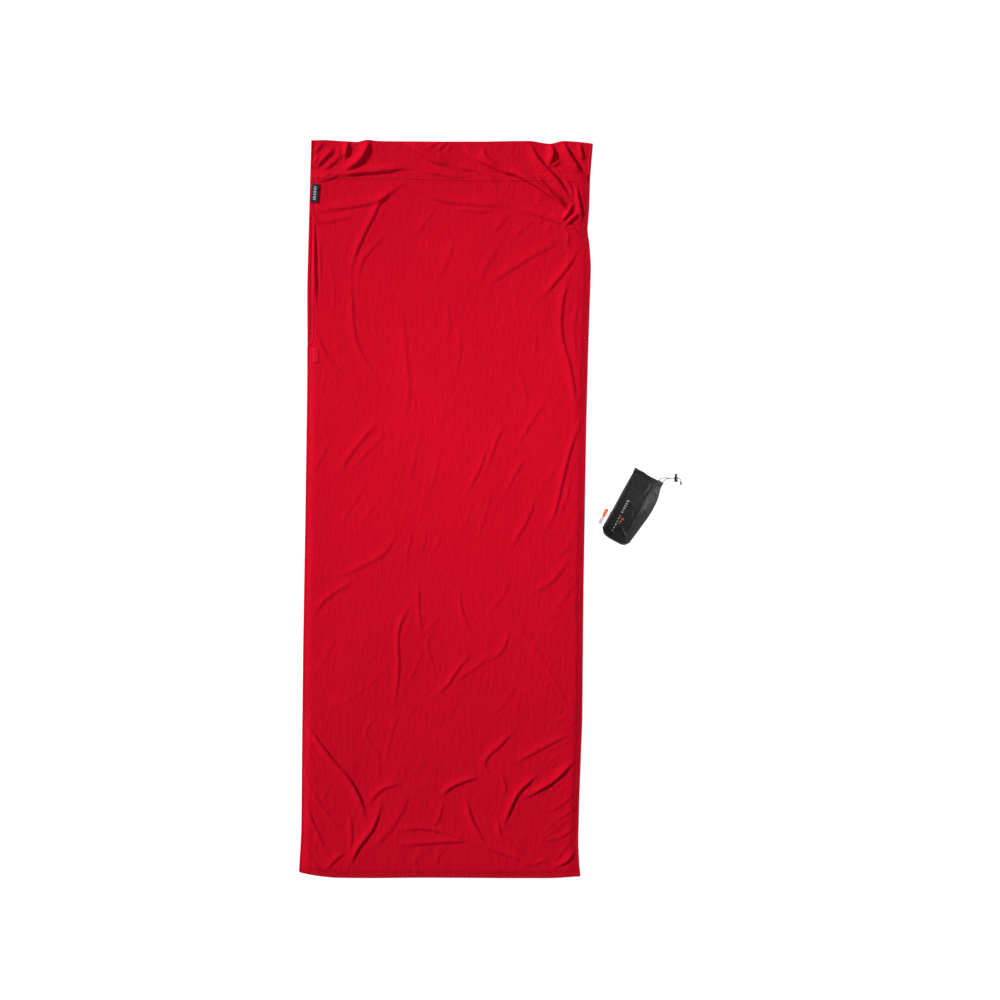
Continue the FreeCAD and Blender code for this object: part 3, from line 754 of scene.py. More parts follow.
FOOT_FOLDS = [
    (10.5, 0.9, 2.6, [(0.6, 173), (9, 184), (14.8, 190.6), (18.4, 197.4), (20, 203)]),
    (4.2, 1, 2.2, [(30, 191.6), (24.2, 193.6), (20.4, 198)]),
    (6.2, 0.9, 2.4, [(24.7, 196.8), (22, 204.7), (17.6, 210.6), (14.5, 217)]),
    (2.4, 1.4, 3, [(33, 194), (30.4, 200.3), (26.6, 206), (21.2, 211.2)]),
    (3.4, 0.9, 1.8, [(14.7, 200), (15.6, 206), (15, 212)]),
    (4.2, 0.9, 1.8, [(14, 211.6), (11, 213.6), (8, 217)]),
    (2.8, 1, 2.4, [(43.2, 196), (42, 201.4), (39.8, 204.4)]),
    (3, 1.1, 2.4, [(28, 205.6), (37, 204.9), (46, 206.6), (50, 208)]),
    (4.4, 1, 2.6, [(29.5, 209.7), (39, 209), (46.4, 208.5), (52, 208.2)]),
    (3.4, 0.9, 2.2, [(52, 208.2), (59, 211), (65.6, 213.2), (70, 215.2)]),
    (5.5, 0.9, 2.4, [(50, 195.2), (52, 201.8), (56.5, 209.4)]),
    (5.5, 1, 2.4, [(54, 189), (46.2, 192), (41.8, 195.4)]),
    (4.2, 1, 2.4, [(64.5, 174.8), (59.6, 179.9), (55.7, 184), (56.4, 188.4)]),
    (7, 0.9, 2.4, [(83.2, 183), (77.1, 189.5), (71, 193.5), (67, 195.5)]),
    (7, 0.9, 2.2, [(72, 187.8), (66, 193.5), (63, 199.7), (61.4, 204.2)]),
    (3.8, 0.9, 1.8, [(59.4, 199.6), (60.7, 206), (62.6, 207.4), (69.7, 213.4)]),
    (2.6, 1, 2, [(59.6, 187), (61.6, 190.4), (62, 194.6)]),
    (6, 0.8, 2, [(83.6, 210.6), (80.5, 214.2), (76.6, 215.6)]),
    (3.6, 1, 2.4, [(80.8, 175.8), (69.5, 182), (64.2, 185.4)]),
    (4.4, 0.8, 1.8, [(1.4, 198.4), (4, 204), (7.9, 211)]),
    (2.8, 0.9, 1.8, [(1.6, 191), (6, 198), (12.2, 205.8)]),
    (2.6, 0.9, 1.6, [(1.4, 210.4), (4, 214), (7.4, 218)]),
    (3, 0.8, 1.4, [(0.8, 184), (1.6, 189), (2.6, 191.6)]),
    (2.6, 0.8, 1.4, [(83, 193), (79, 197), (74.6, 199.4)]),
    (2.4, 0.8, 1.4, [(83, 197.4), (79.4, 200.6), (76, 202.4)]),
    (3, 0.8, 1.4, [(83.2, 203.6), (79.6, 206.4), (75.6, 208)]),
    (2, 0.9, 1.6, [(83, 206.8), (79, 211.4), (77, 214)]),
    (2.4, 0.9, 1.6, [(75.4, 212.8), (71, 214.6), (67, 215)]),
    (2, 1, 1.8, [(36, 212), (35, 215), (37, 218)]),
    (1.8, 1, 1.8, [(42.6, 211), (41.4, 215)]),
]

# How much each group of folds is raised, and how much its steep and gentle sides are narrowed.
FOLD_GROUPS = [
    (HEAD_FOLDS, 1.60, 0.48, 0.75), (POCKET_EDGE, 1.5, 0.55, 0.60),
    (UPPER_FOLDS, 0.72, 0.55, 0.50), (RIGHT_FOLDS, 0.52, 0.55, 0.48),
    (MIDDLE_FOLDS, 0.62, 0.55, 0.45), (FOOT_FOLDS, 0.76, 0.50, 0.60),
]

# Families of small scattered folds: how many, the region (left, right, top, bottom) and
# the range of length in centimetres, the slope of the run, and the height in millimetres.
SCATTERED = [
    (12, (2, 82, 13, 40), (4, 9), 118, 0.5),
    (44, (2, 80, 40, 110), (3, 9), 104, 0.34),
    (44, (2, 80, 100, 165), (3, 9), 112, 0.36),
    (24, (4, 78, 160, 215), (3, 8), 122, 0.5),
    (10, (4, 78, 165, 212), (3, 8), 60, 0.5),
    (20, (76, 82, 30, 150), (2, 5), 140, 0.6),
    (18, (74, 82, 150, 212), (2, 6), 140, 0.9),
    (12, (0, 5, 70, 170), (2, 5), 55, 0.6),
    (10, (0, 7, 170, 215), (3, 7), 55, 1.0),
    (9, (4, 80, 1, 8), (2, 6), 110, 0.9),
    (9, (0.5, 9, 8.5, 13), (1.5, 4), 150, 1.5),
    (10, (68, 82, 9, 16), (1.5, 4.5), 45, 1.5),
    (7, (72, 82, 17, 30), (2, 5), 120, 1.3),
]
# How many folds a train of them has at most.
TRAIN_MOST = 3

# Swells of the whole cloth: size, how much longer they are than wide, turn and depth.
SWELLS = [
    (0.16, 1.6, 0.5, 0.0008), (0.07, 2.2, 0.45, 0.00035), (0.03, 2.0, 0.5, 0.00013),
    (0.012, 1.5, 0.5, 0.00007),
]
DEEPEST = -0.0035
HIGHEST = 0.016


def blended(table, row, column, soften=lambda share: share):
    """The values of a table at places between its cells."""
    i, j = row.astype(int), column.astype(int)
    a, b = soften(row - i), soften(column - j)
    top = table[i, j] * (1 - b) + table[i, j + 1] * b
    low = table[i + 1, j] * (1 - b) + table[i + 1, j + 1] * b
    return top * (1 - a) + low * a


class Relief:
    """How high the cloth's folds stand, over the flat sheet."""

    TAPER_RUN = 0.3
    TAPER_LEAST = 0.12
    FLANK_WIDTH = 0.42
    TROUGH_DEPTH = 0.22
    TROUGH_AWAY = 0.75
    TROUGH_WIDTH = 0.6
    END_REACH = 0.5

    def __init__(self):
        self.across = np.arange(-MARGIN, SHEET_WIDTH + MARGIN, CELL)
        self.down = np.arange(-MARGIN, SHEET_LENGTH + MARGIN, CELL)
        self.height = np.zeros((len(self.down), len(self.across)))

    def window(self, points, reach):
        """The cells near a line, as slices and coordinates."""
        low = points.min(0) - reach
        high = points.max(0) + reach
        columns = slice(*np.searchsorted(self.across, (low[0], high[0])))
        rows = slice(*np.searchsorted(self.down, (low[1], high[1])))
        return rows, columns, np.stack(np.meshgrid(self.across[columns], self.down[rows]), -1)

    def add_fold(self, height, width, reach, points):
        """A ridge with a steep, shaded side and a gentle side that faces the light."""
        line = smooth_route(np.array(points) * CM, 0.004)
        width, reach = width * CM, reach * CM
        tangent = directions(line)
        lit_side = np.stack([-tangent[:, 1], tangent[:, 0]], 1)
        if (lit_side @ LIT_FROM).mean() < 0:
            lit_side = -lit_side
        rows, columns, cells = self.window(line, 3 * reach)
        flat = cells.reshape(-1, 2)
        if not len(flat):
            return
        nearest, _ = nearest_point(flat, line)
        offset = flat - line[nearest]
        side = (offset * lit_side[nearest]).sum(1)
        beyond = np.abs((offset * tangent[nearest]).sum(1))
        share = nearest / (len(line) - 1)
        taper = ease(share / self.TAPER_RUN) * ease((1 - share) / self.TAPER_RUN)
        taper = self.TAPER_LEAST + (1 - self.TAPER_LEAST) * taper
        flank = 0.5 * (1 + np.tanh(side / (self.FLANK_WIDTH * width)))
        back = np.exp(-(np.clip(side, 0, None) / reach) ** 2)
        from_trough = (side + self.TROUGH_AWAY * width) / (self.TROUGH_WIDTH * width)
        trough = -self.TROUGH_DEPTH * np.exp(-from_trough ** 2)
        ends = np.exp(-(beyond / (self.END_REACH * reach)) ** 2)
        made = height * MM * taper * ends * (flank * back + trough)
        self.height[rows, columns] += made.reshape(cells.shape[:2])

    def add_swells(self, size, stretch, turn, depth, random):
        """Smooth swells of one size, longer one way than the other."""
        across, down = np.meshgrid(self.across, self.down)
        c, s = math.cos(turn), math.sin(turn)
        u = (across * c + down * s) / size
        v = (down * c - across * s) / (size * stretch)
        u, v = u - u.min(), v - v.min()
        table = random.uniform(-1, 1, (int(v.max()) + 3, int(u.max()) + 3))
        self.height += depth * blended(table, v, u, ease)

    def soften(self):
        """Spread each cell's height over its neighbours."""
        padded = np.pad(self.height, 1, "edge")
        sideways = (padded[1:-1, :-2] + padded[1:-1, 2:]) / 2
        lengthways = (padded[:-2, 1:-1] + padded[2:, 1:-1]) / 2
        self.height = 0.5 * self.height + 0.25 * (sideways + lengthways)

    def limit(self, lowest, highest):
        """Keep the folds between two heights, without flat tops."""
        up = highest * np.tanh(np.clip(self.height, 0, None) / highest)
        dip = lowest * np.tanh(np.clip(self.height, None, 0) / lowest)
        self.height = up + dip

    def at(self, across, down):
        """The relief at any places on the sheet."""
        x = np.clip((across - self.across[0]) / CELL, 0, len(self.across) - 1.001)
        y = np.clip((down - self.down[0]) / CELL, 0, len(self.down) - 1.001)
        return blended(self.height, y, x)


def scattered_folds(relief, random):
    """Small folds in the directions that the cloth pulls, side by side in short trains."""
    for count, (left, right, top, bottom), (short, long), slope, height in SCATTERED:
        for _ in range(count):
            centre = np.array([random.uniform(left, right), random.uniform(top, bottom)])
            angle = math.radians(slope + random.uniform(-22, 22))
            run = random.uniform(short, long) / 2
            way = np.array([math.cos(angle), math.sin(angle)])
            beside = np.array([-way[1], way[0]])
            bow = beside * random.uniform(-0.18, 0.18) * run
            for _ in range(random.integers(1, TRAIN_MOST + 1)):
                points = [centre - way * run, centre + bow, centre + way * run]
                tall = height * random.uniform(0.5, 1.3)
                width = random.uniform(0.5, 0.8)
                relief.add_fold(tall, width, random.uniform(0.6, 1.1), points)
                centre = centre + beside * random.uniform(1.0, 1.7) + way * random.uniform(-1, 1)


def build_relief():
    relief = Relief()
    random = np.random.default_rng(SEED)
    for folds, lift, narrow, shorten in FOLD_GROUPS:
        for height, width, reach, points in folds:
            relief.add_fold(height * lift, width * narrow, reach * shorten, points)
    scattered_folds(relief, random)
    relief.soften()
    for swell in SWELLS:
        relief.add_swells(*swell, random)
    relief.limit(DEEPEST, HIGHEST)
    return relief


RELIEF = build_relief()

BACK_HEIGHT = 0.0006
POCKET_HEIGHT = 0.0030
FRONT_HEIGHT = 0.0064
EDGE_HEIGHT = 0.0030
POCKET_EDGE_HEIGHT = EDGE_HEIGHT - 0.0006
POCKET_LEAST = 0.0014
EDGE_ROLL = 0.026


def edge_share(across, down, slit_side):
    """0 at a sewn edge and 1 a roll's width inside it."""
    share = ease((SHEET_WIDTH - across) / EDGE_ROLL)
    share = share * ease((SHEET_LENGTH - down) / EDGE_ROLL)
    left = ease(across / EDGE_ROLL)
    if slit_side:
        opened = ease((SLIT_END + 0.02 - down) / 0.05)
        left = np.maximum(left, 0.55 * opened)
    return share * left


def front_surface(across, down):
    share = edge_share(across, down, True)
    full = FRONT_HEIGHT + RELIEF.at(across, down)
    return EDGE_HEIGHT + (full - EDGE_HEIGHT) * share


def pocket_surface(across, down):
    share = edge_share(across, down, False)
    held = 1 - 0.25 * ease((down - MOUTH) / 0.03)
    full = POCKET_HEIGHT + RELIEF.at(across, down) * held
    full = np.maximum(full, POCKET_LEAST + 0.3 * np.clip(full, None, POCKET_LEAST))
    return POCKET_EDGE_HEIGHT + (full - POCKET_EDGE_HEIGHT) * share


def back_surface(across, down):
    lifted = np.clip(RELIEF.at(across, down), 0, None) * 0.16
    share = edge_share(across, down, False)
    return BACK_HEIGHT + lifted * share


def lip_line(down):
    """How far the front panel's open edge lies inside the back panel's."""
    opened = ease((down - 0.19) / 0.06) * ease((SLIT_END + 0.01 - down) / 0.05)
    return 0.0035 + LIP_INSET * opened


# ---- cloth pieces

QUIET_CROWD = 0.62
QUIET_STRETCH = (0.45, 1.68)
FRONT_STEP = 0.0032
POCKET_STEP = 0.0038
BACK_STEP = 0.0065
POCKET_ARCH = 0.012


def crowded_rows(head, foot, step, quiet):
    """Where a cloth's rows lie, as shares of its length: further apart where it is quiet."""
    run = np.linspace(head, foot, 4000)
    crowd = np.ones(len(run))
    filled = run[-1] - run[0]
    if quiet:
        crowd[(run > quiet[0]) & (run < quiet[1])] = QUIET_CROWD
        filled -= (1 - QUIET_CROWD) * (quiet[1] - quiet[0])
    crowd = np.cumsum(crowd)
    crowd = (crowd - crowd[0]) / (crowd[-1] - crowd[0])
    even = np.linspace(0, 1, int(filled / step) + 1)
    return (np.interp(even, crowd, run) - run[0]) / (run[-1] - run[0])


def cloth(name, edges, step, surface, quiet=None):
    """A sheet of jersey over the relief. edges are its left, right, head and foot edge
    functions, and quiet is a stretch with few folds."""
    left, right, head, foot = edges
    middle_head, middle_foot = float(head(SHEET_WIDTH / 2)), float(foot(SHEET_WIDTH / 2))
    rows = crowded_rows(middle_head, middle_foot, step, quiet)
    columns = int(SHEET_WIDTH / step) + 1
    t, s = np.meshgrid(rows, np.linspace(0, 1, columns), indexing="ij")
    down = middle_head + (middle_foot - middle_head) * t
    across = left(down) + (right(down) - left(down)) * s
    down = head(across) + (foot(across) - head(across)) * t
    places = on_sheet(*outline(across, down), surface(across, down))
    faces = grid_faces(len(rows), columns)
    return made_mesh(name, places, faces, JERSEY, np.stack([across, down], -1))


def level(value):
    return lambda at: np.full_like(np.asarray(at, float), value)


def mouth_edge(across):
    return MOUTH + MOUTH_WANDER(across) * MM


def pocket_edge(across):
    return POCKET_DEPTH - POCKET_ARCH * np.sin(math.pi * np.asarray(across) / SHEET_WIDTH)


def band(name, line, section, surface, material, step=0.004):
    """A strip that follows a line on the cloth. section gives (sideways, up) places round it."""
    line = smooth_route(line, step)
    tangent = directions(line)
    sideways = np.stack([-tangent[:, 1], tangent[:, 0]], 1)
    section = np.array(section, float)
    across = line[:, None, 0] + sideways[:, None, 0] * section[None, :, 0]
    down = line[:, None, 1] + sideways[:, None, 1] * section[None, :, 0]
    height = surface(across, down) + section[None, :, 1]
    places = on_sheet(*outline(across, down), height)
    rows, columns = places.shape[:2]
    flat = np.stack([across, down], -1)
    return made_mesh(name, places, tube_faces(rows, columns), material, flat)


def tape_section(width, thickness, lift=0.0, sides=5):
    """A flat band's outline with rounded edges, from one side round to the other."""
    half, round_off = width / 2, thickness / 2
    points = [(x, thickness) for x in np.linspace(-half + round_off, half - round_off, sides)]
    points += [(half, round_off)]
    points += [(x, 0.0) for x in np.linspace(half - round_off, -half + round_off, sides)]
    points += [(-half, round_off)]
    return [(x, z + lift) for x, z in points]


def round_turns(sides):
    return np.linspace(0, math.tau, sides, endpoint=False)


def roll_section(half_width, half_height):
    return [(half_width * math.cos(a), half_height * math.sin(a)) for a in round_turns(10)]


STITCH_RINGS = 5
STITCH_SIDES = 5
STITCH_RADIUS = 0.00028
STITCH_ARCH = 0.0006
SMALL_STEP = 0.0005


def stitches(name, line, surface, pitch=0.0042, length=0.0030, lift=0.0002):
    """A row of red stitches: each one rises out of the cloth and goes back in."""
    line = smooth_route(line, 0.002)
    run = run_along(line)
    starts = np.arange(pitch / 2, run[-1] - length, pitch)
    share = np.linspace(0, 1, STITCH_RINGS)
    at = starts[:, None] + share[None, :] * length
    across, down = np.moveaxis(places_at(at, run, line), -1, 0)
    ahead = places_at(at + SMALL_STEP, run, line) - places_at(at - SMALL_STEP, run, line)
    size = np.hypot(ahead[..., 0], ahead[..., 1])
    side_across, side_down = -ahead[..., 1] / size, ahead[..., 0] / size
    arch = lift + STITCH_ARCH * (np.sin(math.pi * share) - 0.6)
    height = surface(across, down) + arch[None, :]
    turns = round_turns(STITCH_SIDES)
    thin = STITCH_RADIUS * (0.55 + 0.45 * np.sin(math.pi * share))
    out = np.cos(turns)[None, None, :] * thin[None, :, None]
    up = np.sin(turns)[None, None, :] * thin[None, :, None]
    moved = outline(
        across[..., None] + side_across[..., None] * out,
        down[..., None] + side_down[..., None] * out,
    )
    places = on_sheet(*moved, height[..., None] + up)
    faces = []
    for number in range(len(starts)):
        faces += tube_faces(STITCH_RINGS, STITCH_SIDES, number * STITCH_RINGS * STITCH_SIDES)
    return made_mesh(name, places, faces, RED_THREAD)


FOLD_START = on_sheet(0.004, SLIT_END, 0.008)
FOLD_END = on_sheet(0.829, MOUTH, 0.008)
FOLD_ROLL = 0.055


def hinged(obj, slot, *nodes):
    """Cloth that crosses the fold line bends from the sheet to the turned-back corner."""
    way = Vector(FOLD_END - FOLD_START).normalized()
    inward = Vector((-way.y, way.x, 0.0))
    start = Vector((FOLD_START + FOLD_END) / 2)
    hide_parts(*nodes)
    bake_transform(obj, "sheet", "front_corner", start=start, end=start + inward * FOLD_ROLL)


def laid(obj, slot, *nodes):
    """Cloth that stays with the sheet."""
    finished(obj, "sheet", slot, *nodes)


JERSEY_RIGHT = level(SHEET_WIDTH - 0.001)
SHEET_FOOT = level(SHEET_LENGTH)
front_cloth = cloth(
    "front_cloth", (lip_line, JERSEY_RIGHT, mouth_edge, SHEET_FOOT), FRONT_STEP, front_surface,
    QUIET_STRETCH,
)
back_cloth = cloth(
    "back_cloth", (level(0.0), level(SHEET_WIDTH), level(0.0), SHEET_FOOT), BACK_STEP,
    back_surface,
)
pocket_cloth = cloth(
    "pocket_cloth", (level(0.001), JERSEY_RIGHT, level(0.0), pocket_edge), POCKET_STEP,
    pocket_surface,
)
hinged(front_cloth, "red_jersey", "front_panel", "front_corner_flap")
laid(back_cloth, "red_jersey", "back_panel")
laid(pocket_cloth, "red_jersey", "pillow_pocket")


def hem(name, line, section, surface, node, join, row=None, lift=0.0011):
    """A turned hem along a line, with a row of stitches. join is hinged or laid."""
    join(band(name + "_band", line, section, surface, HEM_JERSEY), "red_hem", node)
    if row:
        join(stitches(name + "_stitches", row, surface, lift=lift), "red_seam")


def build_hems():
    middle = MOUTH_HEM / 2
    line = [(a, mouth_edge(a) + middle - 0.001) for a in np.linspace(0.004, 0.836, 13)]
    hem(
        "mouth_hem", line, tape_section(MOUTH_HEM, 0.0007, -0.0003, 7), front_surface,
        "mouth_hem", hinged, [(a, d + middle - 0.003) for a, d in line], 0.0009,
    )
    downs = np.linspace(MOUTH + MOUTH_HEM, SLIT_END - 0.004, 22)
    line = [(float(lip_line(d)) + 0.004, d) for d in downs]
    hem(
        "slit_hem", line, tape_section(0.0095, 0.0012, -0.0003), front_surface,
        "slit_hem_front", hinged, [(a + 0.0025, d) for a, d in line],
    )
    hem(
        "slit_back_hem", straight((0.005, MOUTH - 0.01), (0.005, SLIT_END), 16),
        tape_section(0.010, 0.0014), back_surface, "slit_hem_back", laid,
    )
    line = [(a, pocket_edge(a) - 0.007) for a in np.linspace(0.012, SHEET_WIDTH - 0.012, 13)]
    hem(
        "pocket_hem", line, tape_section(0.014, 0.0011, -0.0002), pocket_surface,
        "pocket_hem", laid, [(a, d - 0.005) for a, d in line],
    )


def seam_surface(across, down):
    """The rolled seam's middle height, a little uneven along its run."""
    return 0.0023 + 0.0003 * np.sin(across * 90) * np.sin(down * 61 + 1.3)


SEAM_INSET = 0.0035
SEAM_STITCH_INSET = 0.011


def build_seams():
    left, right, foot = SEAM_INSET, SHEET_WIDTH - SEAM_INSET, SHEET_LENGTH - SEAM_INSET
    head, pocket = 0.001, POCKET_DEPTH
    rolls = [
        ("right_seam", "right_side_seam", (right, pocket), (right, foot), 60, 0.0042),
        ("left_seam", "left_side_seam", (left, SLIT_END + 0.004), (left, foot), 50, 0.0042),
        ("foot_seam", "foot_seam", (left, foot), (right, foot), 30, 0.0042),
        ("pocket_left_seam", "pocket_seam_left", (left, head), (left, pocket), 16, 0.0034),
        ("pocket_right_seam", "pocket_seam_right", (right, head), (right, pocket), 16, 0.0042),
    ]
    for name, node, start, stop, count, half_width in rolls:
        line, section = straight(start, stop, count), roll_section(half_width, 0.0013)
        roll = band(name + "_roll", line, section, seam_surface, SEAM_JERSEY, 0.005)
        laid(roll, "red_seam", node)
    left, right = SEAM_STITCH_INSET, SHEET_WIDTH - SEAM_STITCH_INSET
    low = SHEET_LENGTH - SEAM_STITCH_INSET
    rows = [
        ("right_seam_stitches", (right, 0.10), (right, foot), 50),
        ("left_seam_stitches", (left, SLIT_END + 0.01), (left, foot), 40),
        ("foot_seam_stitches", (left, low), (right, low), 20),
    ]
    for name, start, stop, count in rows:
        laid(stitches(name, straight(start, stop, count), front_surface), "red_seam")


build_hems()
build_seams()


# ---- patch and label


def build_patch():
    top, bottom = SLIT_END + 0.006, SLIT_END + 0.050
    line = straight((0.025, top), (0.025, bottom), 5)
    section = tape_section(0.018, 0.0007, 0.0001)
    patch = band("slit_patch", line, section, front_surface, PATCH_JERSEY)
    laid(patch, "red_hem", "slit_stop_patch")
    for name, across in (("patch_stitches_left", 0.018), ("patch_stitches_right", 0.032)):
        row = [(across, top + 0.002), (across, bottom - 0.002)]
        laid(stitches(name, row, front_surface, 0.0028, 0.0021, 0.0012), "red_seam")
    row = [(0.017, top + 0.0015), (0.033, top + 0.0015)]
    laid(stitches("patch_bar_tack", row, front_surface, 0.0016, 0.0014, 0.0012), "red_seam")


def label_surface(across, down):
    """The label lies on the hem and follows the cloth loosely."""
    return front_surface(np.maximum(across, 0.006), down) + 0.0016


LABEL_TOP, LABEL_BOTTOM, LABEL_MIDDLE = 0.131, 0.186, 0.0165
LABEL_STEP = 0.002

# The label's woven marks: how far down it each one starts, and its length.
LABEL_MARKS = [
    (0.0075, 0.0030), (0.0130, 0.0045), (0.0205, 0.0060), (0.0290, 0.0045), (0.0370, 0.0060),
    (0.0440, 0.0035),
]


def build_label():
    line = [
        (LABEL_MIDDLE + 0.0016, LABEL_TOP), (LABEL_MIDDLE, (LABEL_TOP + LABEL_BOTTOM) / 2),
        (LABEL_MIDDLE - 0.0016, LABEL_BOTTOM),
    ]
    section = tape_section(0.025, 0.0009)
    label = band("woven_label_tab", line, section, label_surface, LABEL_CLOTH, LABEL_STEP)
    hinged(label, "label_cloth", "woven_label")
    section = tape_section(0.0085, 0.0004, 0.0008)
    for number, (start, length) in enumerate(LABEL_MARKS, start=1):
        middle = LABEL_MIDDLE + 0.001 - 0.05 * start
        row = [(middle, LABEL_TOP + start), (middle - 0.0003, LABEL_TOP + start + length)]
        name = "label_mark_%d" % number
        mark = band(name, row, section, label_surface, LABEL_MARK, LABEL_STEP)
        hinged(mark, "label_cloth")


build_patch()
build_label()


# ---- the sack

SACK_BASE = (0.3993, -0.0864)
SACK_LEAN = math.radians(28.35)
SACK_ALONG = Vector((math.sin(SACK_LEAN), math.cos(SACK_LEAN), 0))
SACK_ACROSS = Vector((math.cos(SACK_LEAN), -math.sin(SACK_LEAN), 0))

# Distance from the base, sideways offset, half width, half height and height of the
# middle, all in millimetres, from the base's middle to the mouth.
SACK_SECTIONS = [
    (-9.4, 1.2, 6, 3, 26.0), (-8.8, 1.0, 24, 12, 26.0), (-4.0, -0.8, 36.5, 18, 26.0),
    (4.0, -1.3, 43, 22, 26.0), (15.5, -1.7, 46.7, 24, 26.0), (38, 0.2, 48.2, 25.8, 26.8),
    (60, 2.0, 49.5, 26.8, 27.1), (85, 3.8, 51.4, 27, 27.1), (110, 5.2, 52.8, 26.3, 26.6),
    (135, 5.6, 52.9, 24, 24.3), (160, 5.4, 51.8, 20.6, 21.1), (182, 3.2, 49.4, 16.4, 17.0),
    (198, 1.5, 47.6, 13.6, 14.0), (212, 1.5, 47.6, 13.6, 14.0),
]
# The tube's outline, as shares of its half width and half height, round from the left.
SACK_OUTLINE = [
    (-1.0, 0.0), (-0.94, 0.40), (-0.80, 0.76), (-0.55, 0.93), (-0.20, 1.0), (0.18, 1.0),
    (0.44, 0.95), (0.56, 0.84), (0.76, 0.52), (0.95, 0.18), (1.0, -0.10), (0.94, -0.55),
    (0.74, -0.92), (0.25, -1.0), (-0.35, -1.0), (-0.82, -0.92), (-0.98, -0.45),
]
AROUND = 120


def on_sack(along, across, height):
    x = SACK_BASE[0] + across * SACK_ACROSS.x + along * SACK_ALONG.x
    y = SACK_BASE[1] + across * SACK_ACROSS.y + along * SACK_ALONG.y
    return np.stack(np.broadcast_arrays(x, y, height), -1)


def closed_outline(points, count):
    """Evenly spaced points on a smooth closed line."""
    looped = points + points[:3]
    dense = smooth_route(looped, 0.004)
    start = np.argmin(((dense - np.array(points[1])) ** 2).sum(1))
    stop = len(dense) - 1 - np.argmin(((dense[::-1] - np.array(points[1])) ** 2).sum(1))
    dense = dense[start:stop + 1]
    run = run_along(dense)
    at = np.linspace(0, run[-1], count, endpoint=False)
    return places_at(at, run, dense)


SACK_LOOP = closed_outline(SACK_OUTLINE, AROUND)
ANGLES = np.arctan2(SACK_LOOP[:, 1], SACK_LOOP[:, 0])
OVAL_LOOP = np.stack([np.cos(ANGLES), np.sin(ANGLES)], 1)
SACK_SPINE = smooth_route(SACK_SECTIONS, 0.5)

# Folds of the sack: depth in millimetres, width in millimetres, and the line as
# (sideways, distance from the base) in millimetres. A negative depth is a groove.
SACK_FOLDS = [
    (-1.6, 3, [(29, 20), (29, 70), (29.5, 110), (30, 150), (28, 194)]),
    (1.6, 5, [(23, 24), (23, 70), (24, 110), (25, 150), (24, 188)]),
    (-1.5, 3.5, [(-37, 30), (-38, 80), (-36, 130), (-38, 178)]),
    (1, 5, [(-30, 40), (-31, 90), (-29, 140), (-31, 180)]),
    (-1.4, 3, [(-24, 186), (-10, 178), (4, 181), (12, 186)]),
    (1.3, 3.5, [(6, 196), (12, 178), (10, 162), (16, 150)]),
    (-1.3, 3, [(18, 190), (22, 176), (20, 166)]),
    (-1.3, 2.6, [(36, 176), (44, 172), (54, 176)]),
    (1.1, 3, [(36, 168), (46, 164), (55, 166)]),
    (-1, 3, [(-34, 150), (-20, 142), (-4, 144)]),
    (1, 3.2, [(-30, 124), (-14, 112), (4, 110)]),
    (-1.1, 3, [(8, 100), (16, 86), (20, 70)]),
    (1.2, 3.4, [(-2, 40), (10, 26), (26, 18)]),
    (-1.2, 3, [(-34, 26), (-20, 18), (-4, 20)]),
    (-0.9, 2.6, [(34, 60), (44, 52), (50, 40)]),
    (0.9, 2.6, [(34, 120), (44, 112), (54, 104)]),
    (-0.8, 2.4, [(-44, 60), (-38, 48), (-40, 36)]),
    (1, 2.6, [(-42, 196), (-36, 186), (-40, 172)]),
    (0.9, 2.2, [(40, 196), (38, 188), (44, 180)]),
    (0.9, 2.2, [(-12, 197), (-8, 190), (-10, 182)]),
]
SACK_FOLD_DEPTH = 1.5
# The rumples' sizes along the tube and their depths, in millimetres.
RUMPLES = [(34, 0.9), (17, 0.55), (9, 0.28)]
WAVES = 5
LEAST_HEIGHT = 0.0002
LEAST_HALF = 0.0001
NYLON_THICKNESS = 0.0006
POLE = -0.0093
TUBE_END = 0.203
CORD_CENTRE = 0.205
MOUTH_END = 0.212
SACK_GIRTH = np.linspace(0, 0.30, AROUND)


def sack_relief(along, across):
    """How far the sack's folds stand out, in metres, over its upper side."""
    flat = np.stack([across / MM, along / MM], -1).reshape(-1, 2)
    total = np.zeros(len(flat))
    for depth, width, points in SACK_FOLDS:
        line = smooth_route(points, 2.0)
        nearest, away = nearest_point(flat, line)
        share = nearest / (len(line) - 1)
        taper = 0.1 + 0.9 * ease(share / 0.25) * ease((1 - share) / 0.25)
        total += depth * taper * np.exp(-away / width ** 2)
    return (total * SACK_FOLD_DEPTH * MM).reshape(np.shape(along))


def rumples(along, around, random):
    """Shallow uneven swells of the thin nylon, all round."""
    total = np.zeros(np.shape(along))
    for size, depth in RUMPLES:
        for _ in range(WAVES):
            turns = random.integers(1, max(2, int(150 / size)))
            phase = random.uniform(0, math.tau)
            wave = np.sin(along / MM / size * random.uniform(0.6, 1.4) + phase)
            total += depth / WAVES * wave * np.cos(turns * around + random.uniform(0, math.tau))
    return total * MM


